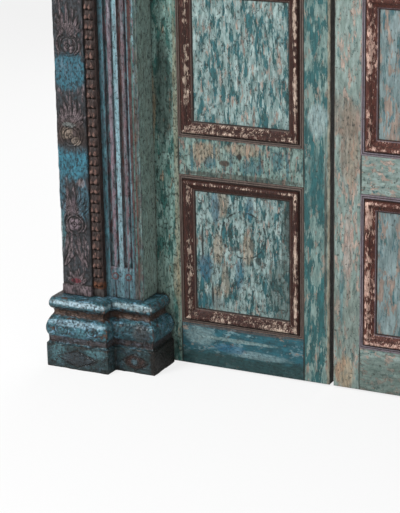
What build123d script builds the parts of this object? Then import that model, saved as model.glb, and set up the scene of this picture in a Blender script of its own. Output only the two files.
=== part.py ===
from build123d import *
from math import cos, pi, radians, sin
import os

# A double-leaf panelled teak door in its own frame. X runs to the right, Y into the wall and Z up.
# While a piece is made, Y = 0 is the front face of the closed leaves and X = 0 is the middle of the
# gap between them. Only the left half is drawn, and the right half is its mirror image.

# Leaves
LEAF_GAP = 13.0
LEAF_THICK = 42.0
MEETING_STILE = 81.0
HANGING_STILE = 102.0
OPENING_WIDTH = 402.0
OPENING_HEIGHT = 464.0
BOTTOM_RAIL = 130.0
MIDDLE_RAIL = 113.5
TOP_RAIL = 135.0
PANEL_ROWS = 3
FLOOR_GAP = 6.0

# Panels, in grooves of the stiles and rails
PANEL_THICK = 16.0
PANEL_SET_BACK = 8.0
GROOVE_DEPTH = 12.0
PANEL_PLAY = 1.0

# Tenons of the rails
TENON_THICK = 14.0
TENON_LENGTH = 55.0
JOINT_CLEARANCE = 0.2

# Mitred moulding strips round each panel
MOULDING_WIDTH = 49.0
MOULDING_PROUD = 15.0
MOULDING_FILLET = 7.0
MOULDING_CREST = 20.0
MOULDING_SLOPE = 34.0
MOULDING_LIP = 3.0

# Jamb posts
STOP_LAP = 20.0
STOP_GAP = 1.0
HINGE_GAP = 3.0
HEAD_GAP = 3.0
NOSE_DEPTH = 89.0
POST_WIDTH = 180.0
FLUTED_WIDTH = 125.5
FLUTE_WIDTH = 31.0
FLUTE_DEPTH = 9.0
REED_WIDTH = 15.0
FLUTE_CENTRES = (32.0, 77.0)
FLUTE_FOOT = 96.0
BUTTON_RADIUS = 11.5
BUTTON_PROUD = 4.0
BUTTON_HEIGHT = 67.0
POST_TENON = 45.0
POST_TENON_THICK = 44.0
POST_TENON_WIDTH = 100.0

# Casing board and rope moulding on the front of the post
CASING_WIDTH = 100.0
CASING_THICK = 34.0
ROPE_WIDTH = 36.5
ROPE_BED = 18.0
ROPE_FOOT = 32.0
ROPE_CREST = 0.5
HUSK_PITCH = 29.0
HUSK_NOTCH = 7.0
HUSK_DROP = 8.0

# Carving on the casing boards, on a ground cut back from their face. A root is measured from the
# rosette's centre, an angle from straight up, and a top share is what is left of an outline at its top.
CARVING_DEPTH = 8.0
CARVING_FOOT = 31.0
ROSETTE_HEIGHT = 223.0
ROSETTE_PITCH = 271.0
ROSETTE_RADIUS = 29.0
ROSETTE_NOTCH_RADIUS = 20.88
ROSETTE_PETALS = 8
ROSETTE_TOP_SHARE = 0.5
LEAF_TOP_SHARE = 0.3
LEAF_BOW_SHARE = 0.45
PALMETTE_FOOT = 30.0
PALMETTE_LEAF = 94.0
PALMETTE_LEAF_WIDTH = 17.0
PALMETTE_SPREAD = 24.0
PALMETTE_TAPER = 0.16
SIDE_LEAF = 37.0
SIDE_LEAF_WIDTH = 13.0
SIDE_LEAF_ROOT = (20.3, 26.1)
SIDE_LEAF_ANGLE = 48.0
PENDANT_LEAF = 112.0
PENDANT_LEAF_WIDTH = 26.0
PENDANT_LEAF_ROOT = (9.0, -23.2)
PENDANT_LEAF_ANGLE = 160.0
FOOT_LEAF = 58.0
FOOT_LEAF_SPREAD = 32.0

# Base block: how far its plinth stands out from what it carries, and its moulding
BASE_HEIGHT = 219.0
BASE_OUTER_LAP = 30.0
BASE_OUTER_FRONT = 59.0
BASE_STEP_LAP = 47.5
BASE_INNER_LAP = 55.0
BASE_INNER_FRONT = 45.0
PLINTH_HEIGHT = 75.0
PLINTH_BEVEL = 5.0
FILLET_IN = 9.0
LOWER_TORUS_FOOT = 99.0
LOWER_TORUS_HEAD = 160.0
LOWER_TORUS_SAG = 4.0
NECK_IN = 22.0
HOLLOW_IN = 29.0
UPPER_TORUS_FOOT = 181.0
UPPER_TORUS_IN = 12.0
BED_IN = 26.0
OUTER_SIDE_SHARE = 0.5
LOZENGE_HEIGHT = 36.0
LOZENGE_HALF_HEIGHT = 27.0
LOZENGE_PROUD = 6.0
LOZENGE_TOP_SHARE = 0.2
OUTER_LOZENGE_HALF = 70.0
INNER_LOZENGE_HALF = 45.0
ROUNDEL_HEIGHT = 126.0
ROUNDEL_PROUD = 3.0
ROUNDEL_BED = 8.0
ROUNDEL_TOP_SHARE = 0.45
ROUNDEL_SIDES = 12
ROUNDEL_RADII = (27.0, 18.0)
ROUNDEL_SPACING = 106.0

# Head of the frame
HEAD_HEIGHT = 140.0
CAPITAL_HEIGHT = 120.0
CAPITAL_BAND = 40.0
CAPITAL_FILLET = 8.0
CAPITAL_IN = 24.0
CAPITAL_BEND = (0.8, 0.65)
CORNICE_HEIGHT = 62.0
CORNICE_BAND = 26.0
CORNICE_LAP = 16.0
CORNICE_BEND = (0.3, 0.55)
HEAD_BOARD_BEVEL = 12.0

# Butt hinges
HINGE_HEIGHT = 100.0
HINGE_CENTRES = (330.0, 1560.0)
PLATE_THICK = 2.5
PLATE_DEPTH = 34.0
PLATE_PROUD = 1.0
KNUCKLES = 3
KNUCKLE_RADIUS = 7.0
KNUCKLE_GAP = 0.4
KNUCKLE_CLEARANCE = 0.4
PIN_RADIUS = 3.6
PIN_CLEARANCE = 0.05
BARREL_FLATS = 12

# Places across the left half, from the middle outwards
MEETING_EDGE = -LEAF_GAP / 2
OPENING_INNER = MEETING_EDGE - MEETING_STILE
OPENING_OUTER = OPENING_INNER - OPENING_WIDTH
HANGING_EDGE = OPENING_OUTER - HANGING_STILE
REBATE_SIDE = HANGING_EDGE - HINGE_GAP
NOSE = HANGING_EDGE + STOP_LAP
POST_SIDE = NOSE - POST_WIDTH
ROPE_INNER = NOSE - FLUTED_WIDTH
ROPE_OUTER = ROPE_INNER - ROPE_WIDTH
CASING_OUTER = ROPE_OUTER - CASING_WIDTH
BASE_OUTER = CASING_OUTER - BASE_OUTER_LAP
BASE_STEP = ROPE_INNER + BASE_STEP_LAP
BASE_INNER = NOSE + BASE_INNER_LAP

# Places from front to back
STOP_FACE = -STOP_GAP
POST_FRONT = STOP_FACE - NOSE_DEPTH
CASING_FRONT = POST_FRONT - CASING_THICK
CARVING_GROUND = CASING_FRONT + CARVING_DEPTH
BASE_OUTER_FACE = CASING_FRONT - BASE_OUTER_FRONT
BASE_INNER_FACE = POST_FRONT - BASE_INNER_FRONT
HINGE_Y = LEAF_THICK + KNUCKLE_RADIUS + KNUCKLE_CLEARANCE
HINGE_X = HANGING_EDGE - HINGE_GAP / 2

# Places from the floor up
RAIL_HEIGHTS = [BOTTOM_RAIL] + [MIDDLE_RAIL] * (PANEL_ROWS - 1) + [TOP_RAIL]
LEAF_TOP = FLOOR_GAP + sum(RAIL_HEIGHTS) + PANEL_ROWS * OPENING_HEIGHT
REBATE_TOP = LEAF_TOP + HEAD_GAP
HEAD_UNDER = LEAF_TOP - STOP_LAP
HEAD_TOP = HEAD_UNDER + HEAD_HEIGHT
CAPITAL_UNDER = HEAD_TOP - CAPITAL_HEIGHT

# As many rosettes as the casing board has room for
ROSETTE_ROOM = CAPITAL_UNDER - BASE_HEIGHT - ROSETTE_HEIGHT - ROSETTE_RADIUS - SIDE_LEAF
ROSETTE_COUNT = int(ROSETTE_ROOM // ROSETTE_PITCH) + 1

# The finished door is moved in Y so that the origin is at the bottom centre of its bounding box.
CORNICE_FACE = BASE_OUTER_FACE - CORNICE_LAP
BACK_FACE = HINGE_Y + KNUCKLE_RADIUS
CENTRE_Y = -(CORNICE_FACE + BACK_FACE) / 2


def bar(x, y, z):
    """A rectangular piece between two places on each axis."""
    size = [abs(b - a) for a, b in (x, y, z)]
    middle = [(a + b) / 2 for a, b in (x, y, z)]
    return Pos(*middle) * Box(*size)


def rail_feet():
    """The height at which each rail of a leaf starts, from the bottom rail up."""
    feet, z = [], FLOOR_GAP
    for height in RAIL_HEIGHTS:
        feet.append(z)
        z += height + OPENING_HEIGHT
    return feet


def opening_feet():
    """The height at which each panel opening of a leaf starts."""
    return [foot + height for foot, height in zip(rail_feet()[:-1], RAIL_HEIGHTS)]


def groove_y(clearance):
    """The stretch in Y that a panel takes, widened for its groove."""
    return (PANEL_SET_BACK - clearance, PANEL_SET_BACK + PANEL_THICK + clearance)


def tenon_y(clearance):
    """The stretch in Y that a rail's tenon takes, centred on the panel."""
    middle = PANEL_SET_BACK + PANEL_THICK / 2
    half = TENON_THICK / 2 + clearance
    return (middle - half, middle + half)


def tenon_z(row, clearance):
    """The stretch in Z that the tenons of one rail take."""
    foot, height = rail_feet()[row], RAIL_HEIGHTS[row]
    shoulder = GROOVE_DEPTH + PANEL_PLAY
    return (foot + shoulder - clearance, foot + height - shoulder + clearance)


def stile(panel_edge, far_edge):
    """A stile, grooved for the panels and mortised for the rails along its panel edge."""
    wood = bar((panel_edge, far_edge), (0, LEAF_THICK), (FLOOR_GAP, LEAF_TOP))
    into = 1 if far_edge > panel_edge else -1
    groove = (panel_edge, panel_edge + into * GROOVE_DEPTH)
    mortise = (panel_edge, panel_edge + into * (TENON_LENGTH + JOINT_CLEARANCE))
    for foot in opening_feet():
        reach = (foot - GROOVE_DEPTH, foot + OPENING_HEIGHT + GROOVE_DEPTH)
        wood -= bar(groove, groove_y(JOINT_CLEARANCE), reach)
    for row in range(len(RAIL_HEIGHTS)):
        wood -= bar(mortise, tenon_y(JOINT_CLEARANCE), tenon_z(row, JOINT_CLEARANCE))
    return wood


def rail(row):
    """A rail with a tenon at each end and a groove along each edge that meets a panel."""
    foot, height = rail_feet()[row], RAIL_HEIGHTS[row]
    across = (OPENING_OUTER, OPENING_INNER)
    wood = bar(across, (0, LEAF_THICK), (foot, foot + height))
    if row > 0:
        wood -= bar(across, groove_y(JOINT_CLEARANCE), (foot, foot + GROOVE_DEPTH))
    if row < PANEL_ROWS:
        wood -= bar(across, groove_y(JOINT_CLEARANCE), (foot + height - GROOVE_DEPTH, foot + height))
    tenons = (OPENING_OUTER - TENON_LENGTH, OPENING_INNER + TENON_LENGTH)
    return wood + bar(tenons, tenon_y(0), tenon_z(row, 0))


def panel(row):
    """A flat panel with its edges in the grooves."""
    foot, hold = opening_feet()[row], GROOVE_DEPTH - PANEL_PLAY
    across = (OPENING_OUTER - hold, OPENING_INNER + hold)
    return bar(across, groove_y(0), (foot - hold, foot + OPENING_HEIGHT + hold))


def moulding_strip(length):
    """One strip of panel moulding along X, its outer edge at Z = 0, with both ends mitred.

    From the outer edge it has a flat fillet, a round crest and a long slope down to the panel.
    """
    back, lip = PANEL_SET_BACK, -MOULDING_LIP
    bead, slope = (0, lip, MOULDING_FILLET), (0, lip, MOULDING_SLOPE)
    toe, heel = (0, back - MOULDING_LIP, MOULDING_WIDTH), (0, back, MOULDING_WIDTH)
    outline = [
        Polyline((0, back, 0), (0, lip, 0), bead),
        ThreePointArc(bead, (0, -MOULDING_PROUD, MOULDING_CREST), slope),
        Polyline(slope, toe, heel, (0, back, 0)),
    ]
    strip = extrude(make_face(outline), amount=length, dir=(1, 0, 0))
    corners = [
        (0, 0, 0),
        (length, 0, 0),
        (length - MOULDING_WIDTH, 0, MOULDING_WIDTH),
        (MOULDING_WIDTH, 0, MOULDING_WIDTH),
    ]
    front = make_face(Polyline(*corners, close=True))
    mitre = extrude(front, amount=2 * MOULDING_PROUD, dir=(0, 1, 0), both=True)
    return strip & mitre


def panel_moulding(row):
    """The four mitred strips round one panel, as separate pieces."""
    foot = opening_feet()[row]
    head = foot + OPENING_HEIGHT
    side, level = moulding_strip(OPENING_HEIGHT), moulding_strip(OPENING_WIDTH)
    strips = [
        Pos(OPENING_OUTER, 0, foot) * level,
        Pos(OPENING_INNER, 0, foot) * Rot(0, -90, 0) * side,
        Pos(OPENING_INNER, 0, head) * Rot(0, 180, 0) * level,
        Pos(OPENING_OUTER, 0, head) * Rot(0, 90, 0) * side,
    ]
    return Compound(children=[strip.solid() for strip in strips])


def moulded_block(x, y, outline, side_share):
    """A block with one moulded outline on its front and its two sides, meeting in mitres.

    outline(place) draws the moulding from foot to head: place turns how far it stands back and
    its height into a point.
    """
    x0, x1 = x
    front, back = y
    face = outline(lambda inward, z: (0, front + inward, z))
    start, end = face[0] @ 0, face[-1] @ 1
    face += [Line(end, (0, back, end.Z)), Line((0, back, end.Z), (0, back, 0)), Line((0, back, 0), start)]
    along = extrude(make_face(face), amount=x1 - x0, dir=(1, 0, 0))
    left = outline(lambda inward, z: (x0 + inward * side_share[0], front, z))
    right = outline(lambda inward, z: (x1 - inward * side_share[1], front, z))
    sides = left + right
    sides += [Line(left[-1] @ 1, right[-1] @ 1), Line(right[0] @ 0, left[0] @ 0)]
    across = extrude(make_face(sides), amount=back - front, dir=(0, 1, 0))
    return (Pos(x0, 0, 0) * along) & across


def base_outline(place):
    """Plinth, bevel, fillet, lower torus, hollow and upper torus of a base block."""
    lower_middle = (LOWER_TORUS_FOOT + LOWER_TORUS_HEAD) / 2 - LOWER_TORUS_SAG
    upper_middle = (UPPER_TORUS_FOOT + BASE_HEIGHT) / 2
    hollow_middle = (LOWER_TORUS_HEAD + UPPER_TORUS_FOOT) / 2
    foot, bevel = place(0, 0), place(0, PLINTH_HEIGHT)
    fillet = place(FILLET_IN, PLINTH_HEIGHT + PLINTH_BEVEL)
    torus, neck = place(FILLET_IN, LOWER_TORUS_FOOT), place(NECK_IN, LOWER_TORUS_HEAD)
    upper, bed = place(NECK_IN, UPPER_TORUS_FOOT), place(BED_IN, BASE_HEIGHT)
    return [
        Line(foot, bevel),
        Line(bevel, fillet),
        Line(fillet, torus),
        ThreePointArc(torus, place(0, lower_middle), neck),
        ThreePointArc(neck, place(HOLLOW_IN, hollow_middle), upper),
        ThreePointArc(upper, place(UPPER_TORUS_IN, upper_middle), bed),
    ]


def capital_outline(place):
    """A plain cove and fillet under a flat band."""
    band_foot = CAPITAL_HEIGHT - CAPITAL_BAND
    low, cove = place(CAPITAL_IN, 0), place(CAPITAL_IN, CAPITAL_FILLET)
    fillet, band = place(CAPITAL_FILLET, band_foot), place(0, band_foot)
    bend = place(CAPITAL_IN * CAPITAL_BEND[0], band_foot * CAPITAL_BEND[1])
    return [
        Line(low, cove),
        ThreePointArc(cove, bend, fillet),
        Line(fillet, band),
        Line(band, place(0, CAPITAL_HEIGHT)),
    ]


def cornice_outline(place):
    """A plain ovolo under a flat band."""
    band_foot = CORNICE_HEIGHT - CORNICE_BAND
    low, band = place(CORNICE_LAP, 0), place(0, band_foot)
    bend = place(CORNICE_LAP * CORNICE_BEND[0], band_foot * CORNICE_BEND[1])
    return [ThreePointArc(low, bend, band), Line(band, place(0, CORNICE_HEIGHT))]


def raised(centre, outline, y, share):
    """A raised form over an outline of (across, up) points round a centre, with flat sloping sides.

    It goes from the first place in Y to the second, where it has narrowed to a share of the outline.
    """
    middle = [sum(values) / len(outline) for values in zip(*outline)]
    rings = []
    for depth, scale in zip(y, (1, share)):
        ring = [[m + (v - m) * scale for v, m in zip(point, middle)] for point in outline]
        rings.append([(centre[0] + across, depth, centre[1] + up) for across, up in ring])
    low, high = rings
    sides = [(low[i - 1], low[i], high[i], high[i - 1]) for i in range(len(outline))]
    faces = [make_face(Polyline(*corners, close=True)).face() for corners in [low, high, *sides]]
    return Solid(Shell(faces))


def star(radii, corners):
    """The outline of a star or a regular polygon: its corners take the radii in turn."""
    turn = 2 * pi / corners
    reach = [radii[i % len(radii)] for i in range(corners)]
    return [(r * sin(i * turn), r * cos(i * turn)) for i, r in enumerate(reach)]


def leaf(root, angle, length, width):
    """The outline of a pointed leaf. Its angle is measured from straight up, in degrees."""
    bow = LEAF_BOW_SHARE * length
    out, side = (sin(radians(angle)), cos(radians(angle))), (cos(radians(angle)), -sin(radians(angle)))
    along = [(0, 0), (bow, width / 2), (length, 0), (bow, -width / 2)]
    return [(root[0] + a * out[0] + b * side[0], root[1] + a * out[1] + b * side[1]) for a, b in along]


def base_ornament():
    """The lozenges on the two plinth faces and the roundels on the lower tori of a base block."""
    outer_x = (BASE_OUTER + BASE_STEP) / 2
    inner_x = (BASE_STEP + BASE_INNER) / 2
    outer = (outer_x, BASE_OUTER_FACE, OUTER_LOZENGE_HALF)
    inner = (inner_x, BASE_INNER_FACE, INNER_LOZENGE_HALF)
    forms = []
    for x, face, half in (outer, inner):
        outline = [(half, 0), (0, -LOZENGE_HALF_HEIGHT), (-half, 0), (0, LOZENGE_HALF_HEIGHT)]
        y = (face, face - LOZENGE_PROUD)
        forms.append(raised((x, LOZENGE_HEIGHT), outline, y, LOZENGE_TOP_SHARE))
    y = (BASE_OUTER_FACE + ROUNDEL_BED, BASE_OUTER_FACE - ROUNDEL_PROUD)
    for side, radius in zip((-1, 1), ROUNDEL_RADII):
        x = outer_x + side * ROUNDEL_SPACING / 2
        forms.append(raised((x, ROUNDEL_HEIGHT), star((radius,), ROUNDEL_SIDES), y, ROUNDEL_TOP_SHARE))
    return forms


def base_block():
    """The base of a jamb: a deep outer block and a shallower inner one, cut from one timber."""
    outer = moulded_block(
        (BASE_OUTER, BASE_STEP), (BASE_OUTER_FACE, STOP_FACE), base_outline, (OUTER_SIDE_SHARE, 1)
    )
    inner = moulded_block((CASING_OUTER, BASE_INNER), (BASE_INNER_FACE, STOP_FACE), base_outline, (1, 1))
    return outer + inner + base_ornament()


def capital():
    """The plain capital over a jamb, on the same stepped plan as its base."""
    outer = moulded_block((BASE_OUTER, BASE_STEP), (BASE_OUTER_FACE, POST_FRONT), capital_outline, (1, 1))
    inner = moulded_block((CASING_OUTER, BASE_INNER), (BASE_INNER_FACE, POST_FRONT), capital_outline, (1, 1))
    return Pos(0, 0, CAPITAL_UNDER) * (outer + inner)


def cornice():
    """The plain cornice over the whole head."""
    reach = BASE_OUTER - CORNICE_LAP
    shelf = moulded_block((reach, -reach), (CORNICE_FACE, LEAF_THICK), cornice_outline, (1, 1))
    return Pos(0, 0, HEAD_TOP) * shelf


def reeded_flute(centre, foot, head):
    """What is cut from the post for one flute: a sunk channel that leaves a half-round reed."""
    across = (centre - FLUTE_WIDTH / 2, centre + FLUTE_WIDTH / 2)
    channel = bar(across, (POST_FRONT, POST_FRONT + FLUTE_DEPTH), (foot, head))
    reed = Pos(centre, POST_FRONT + FLUTE_DEPTH, (foot + head) / 2) * Cylinder(REED_WIDTH / 2, head - foot)
    return channel - reed


def post():
    """A jamb post: fluted nose in front of the leaf, rebate behind it, foot notched over the base."""
    wood = bar((POST_SIDE, NOSE), (POST_FRONT, STOP_FACE), (BASE_HEIGHT, HEAD_UNDER))
    wood += bar((POST_SIDE, REBATE_SIDE), (STOP_FACE, LEAF_THICK), (0, HEAD_UNDER))
    for offset in FLUTE_CENTRES:
        centre = ROPE_INNER + offset
        wood -= reeded_flute(centre, BASE_HEIGHT + FLUTE_FOOT, HEAD_UNDER)
        button = Pos(centre, POST_FRONT, BASE_HEIGHT + BUTTON_HEIGHT) * Rot(90, 0, 0)
        wood += button * Cone(BUTTON_RADIUS, BUTTON_RADIUS / 2, 2 * BUTTON_PROUD)
    wood += bar(*post_tenon(0))
    for height in HINGE_CENTRES:
        wood -= plate_recess(REBATE_SIDE, -1, height)
    return wood


def post_tenon(clearance):
    """The tenon on top of a post, as stretches in X, Y and Z."""
    x = (POST_SIDE + REBATE_SIDE) / 2
    y = (POST_FRONT + STOP_FACE) / 2
    half_x = POST_TENON_WIDTH / 2 + clearance
    half_y = POST_TENON_THICK / 2 + clearance
    return (
        (x - half_x, x + half_x),
        (y - half_y, y + half_y),
        (HEAD_UNDER, HEAD_UNDER + POST_TENON + clearance),
    )


def head_beam():
    """The head of the frame, over both posts, with a stop in front of the leaves."""
    wood = bar((POST_SIDE, -POST_SIDE), (POST_FRONT, LEAF_THICK), (HEAD_UNDER, HEAD_TOP))
    wood -= bar((REBATE_SIDE, -REBATE_SIDE), (STOP_FACE, LEAF_THICK), (HEAD_UNDER, REBATE_TOP))
    mortise = bar(*post_tenon(JOINT_CLEARANCE))
    return wood - mortise - mirror(mortise, about=Plane.YZ)


def head_board():
    """The plain board between the capitals, with its lower front edge bevelled."""
    board = bar((BASE_INNER, -BASE_INNER), (CASING_FRONT, POST_FRONT), (HEAD_UNDER, HEAD_TOP))
    edge = board.edges().filter_by(Axis.X).sort_by(Axis.Z)[:2].sort_by(Axis.Y)[0]
    return chamfer(edge, HEAD_BOARD_BEVEL)


def motif(with_palmette):
    """The outlines of one rosette and the leaves over it, round the rosette's centre."""
    petals = star((ROSETTE_RADIUS, ROSETTE_NOTCH_RADIUS), 2 * ROSETTE_PETALS)
    leaves = []
    if with_palmette:
        for step in (-2, -1, 0, 1, 2):
            length = PALMETTE_LEAF * (1 - PALMETTE_TAPER * abs(step))
            leaves.append(leaf((0, PALMETTE_FOOT), step * PALMETTE_SPREAD, length, PALMETTE_LEAF_WIDTH))
    for side in (-1, 1):
        root = (side * SIDE_LEAF_ROOT[0], SIDE_LEAF_ROOT[1])
        leaves.append(leaf(root, side * SIDE_LEAF_ANGLE, SIDE_LEAF, SIDE_LEAF_WIDTH))
    return [(petals, ROSETTE_TOP_SHARE)] + [(outline, LEAF_TOP_SHARE) for outline in leaves]


def foot_leaves():
    """The two leaves that hang under the lowest rosette and the three that rise from the foot."""
    leaves = []
    for side in (-1, 1):
        root = (side * PENDANT_LEAF_ROOT[0], PENDANT_LEAF_ROOT[1])
        leaves.append(leaf(root, side * PENDANT_LEAF_ANGLE, PENDANT_LEAF, PENDANT_LEAF_WIDTH))
    foot = (0, CARVING_FOOT - ROSETTE_HEIGHT)
    for step in (-1, 0, 1):
        leaves.append(leaf(foot, step * FOOT_LEAF_SPREAD, FOOT_LEAF, PALMETTE_LEAF_WIDTH))
    return [(outline, LEAF_TOP_SHARE) for outline in leaves]


def carved_casing():
    """The casing board on the outer side of a jamb, with rosettes, palmettes and hanging leaves."""
    x = (CASING_OUTER + ROPE_OUTER) / 2
    board = bar((CASING_OUTER, ROPE_OUTER), (CARVING_GROUND, POST_FRONT), (BASE_HEIGHT, CAPITAL_UNDER))
    foot = (BASE_HEIGHT, BASE_HEIGHT + CARVING_FOOT)
    forms = [bar((CASING_OUTER, ROPE_OUTER), (CASING_FRONT, CARVING_GROUND), foot)]
    for index in range(ROSETTE_COUNT):
        centre = (x, BASE_HEIGHT + ROSETTE_HEIGHT + index * ROSETTE_PITCH)
        outlines = motif(with_palmette=index < ROSETTE_COUNT - 1)
        if index == 0:
            outlines += foot_leaves()
        for outline, share in outlines:
            forms.append(raised(centre, outline, (CARVING_GROUND, CASING_FRONT), share))
    return board + forms


def rope_moulding():
    """A bevelled bar on a flat bed, cut into a string of husks by V notches."""
    middle = (ROPE_INNER + ROPE_OUTER) / 2
    half = ROPE_WIDTH / 2 - JOINT_CLEARANCE
    shoulder = POST_FRONT - ROPE_BED
    bed = bar((middle - half, middle + half), (shoulder, POST_FRONT), (BASE_HEIGHT, CAPITAL_UNDER))
    foot, crest = BASE_HEIGHT + ROPE_FOOT, half * ROPE_CREST
    section = [
        (middle - half, shoulder, foot),
        (middle - crest, CASING_FRONT, foot),
        (middle + crest, CASING_FRONT, foot),
        (middle + half, shoulder, foot),
    ]
    string = extrude(make_face(Polyline(*section, close=True)), amount=CAPITAL_UNDER - foot, dir=(0, 0, 1))
    z = foot + HUSK_PITCH
    while z < CAPITAL_UNDER - HUSK_NOTCH:
        string -= husk_notch(middle, half, z)
        z += HUSK_PITCH
    return bed + string


def husk_notch(middle, half, z):
    """The V notch over one husk: a bent groove across the string, lowest at its middle."""
    reach = half + JOINT_CLEARANCE
    lower = [(middle - reach, z + HUSK_DROP), (middle, z), (middle + reach, z + HUSK_DROP)]
    upper = [(x, height + HUSK_NOTCH) for x, height in reversed(lower)]
    face = make_face(Polyline(*[(x, CASING_FRONT, height) for x, height in lower + upper], close=True))
    return extrude(face, amount=CASING_THICK - ROPE_BED, dir=(0, 1, 0))


def plate_recess(face_x, into, height):
    """The shallow recess for a hinge plate in the wood face at face_x. into points into the wood."""
    depth = PLATE_THICK - PLATE_PROUD
    half = HINGE_HEIGHT / 2 + JOINT_CLEARANCE
    y = (LEAF_THICK - PLATE_DEPTH - JOINT_CLEARANCE, LEAF_THICK)
    return bar((face_x, face_x + into * depth), y, (height - half, height + half))


def knuckle_stretch(index, height):
    """The stretch in Z of one knuckle of the hinge at a height."""
    pitch = HINGE_HEIGHT / KNUCKLES
    low = height - HINGE_HEIGHT / 2 + index * pitch
    low_gap = KNUCKLE_GAP / 2 if index > 0 else 0
    high_gap = KNUCKLE_GAP / 2 if index < KNUCKLES - 1 else 0
    return (low + low_gap, low + pitch - high_gap)


def round_at_hinge(radius, z, over_flats=False):
    """A round bar on the hinge's axis between two heights, drawn with flats.

    The radius reaches the corners, or the flats where a hole has to clear what turns in it.
    """
    section = RegularPolygon(radius, BARREL_FLATS, major_radius=not over_flats)
    return extrude(Pos(HINGE_X, HINGE_Y, z[0]) * section, amount=z[1] - z[0])


def hinge_plate(face_x, into, height, own):
    """A flat plate let into the wood, with the knuckles numbered in own rolled on its edge."""
    outer = face_x - into * PLATE_PROUD
    z = (height - HINGE_HEIGHT / 2, height + HINGE_HEIGHT / 2)
    plate = bar((outer, outer + into * PLATE_THICK), (LEAF_THICK - PLATE_DEPTH, HINGE_Y), z)
    for index in range(KNUCKLES):
        low, high = knuckle_stretch(index, height)
        if index in own:
            plate += round_at_hinge(KNUCKLE_RADIUS, (low, high))
        else:
            room = (low - KNUCKLE_GAP, high + KNUCKLE_GAP)
            plate -= round_at_hinge(KNUCKLE_RADIUS + KNUCKLE_CLEARANCE, room, over_flats=True)
    return plate - round_at_hinge(PIN_RADIUS + PIN_CLEARANCE, z, over_flats=True)


def hinge_pin(height):
    """A plain pin, flush with the ends of the barrel."""
    return round_at_hinge(PIN_RADIUS, (height - HINGE_HEIGHT / 2, height + HINGE_HEIGHT / 2))


def hanging_stile():
    """The outer stile, recessed on its edge for the hinge plates."""
    wood = stile(OPENING_OUTER, HANGING_EDGE)
    for height in HINGE_CENTRES:
        wood -= plate_recess(HANGING_EDGE, 1, height)
    return wood


def left_pieces():
    """Every piece of the left half, by name."""
    pieces = {
        "jamb_post": post(),
        "carved_casing": carved_casing(),
        "rope_moulding": rope_moulding(),
        "base_block": base_block(),
        "capital": capital(),
        "leaf_hanging_stile": hanging_stile(),
        "leaf_meeting_stile": stile(OPENING_INNER, MEETING_EDGE),
    }
    for row, name in enumerate(("bottom_rail", "lock_rail", "upper_rail", "top_rail")):
        pieces[f"leaf_{name}"] = rail(row)
    for row, name in enumerate(("lower", "middle", "upper")):
        pieces[f"leaf_{name}_panel"] = panel(row)
        pieces[f"leaf_{name}_moulding"] = panel_moulding(row)
    for height, name in zip(HINGE_CENTRES, ("lower", "upper")):
        pieces[f"{name}_hinge_frame_plate"] = hinge_plate(REBATE_SIDE, -1, height, (0, 2))
        pieces[f"{name}_hinge_leaf_plate"] = hinge_plate(HANGING_EDGE, 1, height, (1,))
        pieces[f"{name}_hinge_pin"] = hinge_pin(height)
    return pieces


def all_pieces():
    """Every piece of the door, by node name, in its final place."""
    pieces = {"head_beam": head_beam(), "head_board": head_board(), "cornice": cornice()}
    for name, piece in left_pieces().items():
        pieces[f"left_{name}"] = piece
        pieces[f"right_{name}"] = mirror(piece, about=Plane.YZ)
    return {name: Pos(0, CENTRE_Y, 0) * piece for name, piece in pieces.items()}


os.makedirs("parts", exist_ok=True)
for node, solid in all_pieces().items():
    export_step(solid, f"parts/{node}.step")
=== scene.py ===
import math

import bpy
import numpy as np
from mathutils import Matrix, Vector


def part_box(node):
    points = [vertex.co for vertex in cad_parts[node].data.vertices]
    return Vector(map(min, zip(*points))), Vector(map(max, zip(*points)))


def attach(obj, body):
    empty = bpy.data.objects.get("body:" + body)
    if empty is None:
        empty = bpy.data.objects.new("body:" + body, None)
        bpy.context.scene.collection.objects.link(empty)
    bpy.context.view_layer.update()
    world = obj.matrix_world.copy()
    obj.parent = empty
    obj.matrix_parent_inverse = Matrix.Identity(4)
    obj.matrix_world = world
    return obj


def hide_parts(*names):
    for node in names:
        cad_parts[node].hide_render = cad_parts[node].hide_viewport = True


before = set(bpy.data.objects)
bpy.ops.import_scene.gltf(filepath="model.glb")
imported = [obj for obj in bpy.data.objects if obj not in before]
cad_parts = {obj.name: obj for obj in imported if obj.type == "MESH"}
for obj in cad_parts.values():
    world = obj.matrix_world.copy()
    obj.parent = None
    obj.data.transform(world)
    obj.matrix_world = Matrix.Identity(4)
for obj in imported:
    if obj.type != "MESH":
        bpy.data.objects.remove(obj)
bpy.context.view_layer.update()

# Camera. It stands to the right of the door at about eye height, looks down to its lower left corner
# through a long lens, and is held a degree off level, as in the photograph.
CAMERA_PLACE = (1.9524, -4.6707, 2.040)
CAMERA_TURN, CAMERA_TILT, CAMERA_ROLL = 26.627, -17.668, -1.092
CAMERA_LENS, CAMERA_SENSOR, CAMERA_REACH = 130.82, 36, 60

camera_data = bpy.data.cameras.new("camera")
camera_data.lens = CAMERA_LENS
camera_data.sensor_width = CAMERA_SENSOR
camera_data.clip_end = CAMERA_REACH
camera = bpy.data.objects.new("camera", camera_data)
bpy.context.scene.collection.objects.link(camera)
turn = Matrix.Rotation(math.radians(CAMERA_TURN), 4, "Z")
tilt = Matrix.Rotation(math.radians(90 + CAMERA_TILT), 4, "X")
roll = Matrix.Rotation(math.radians(CAMERA_ROLL), 4, "Z")
camera.matrix_world = Matrix.Translation(CAMERA_PLACE) @ turn @ tilt @ roll
bpy.context.scene.camera = camera
bpy.context.scene.view_settings.view_transform = "Standard"


# Studio. A soft lamp from the upper left, a weaker one from the right and one behind light a white
# surround, and a pale floor with a faint contact shadow carries the door.
WHITE = "#ffffff"
SURROUND_LIGHT = 0.42
FLOOR_HALF, FLOOR_GLOW, FLOOR_GRAIN, FLOOR_TONES = 40, 0.8, 3.0, (0.86, 0.9)


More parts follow.
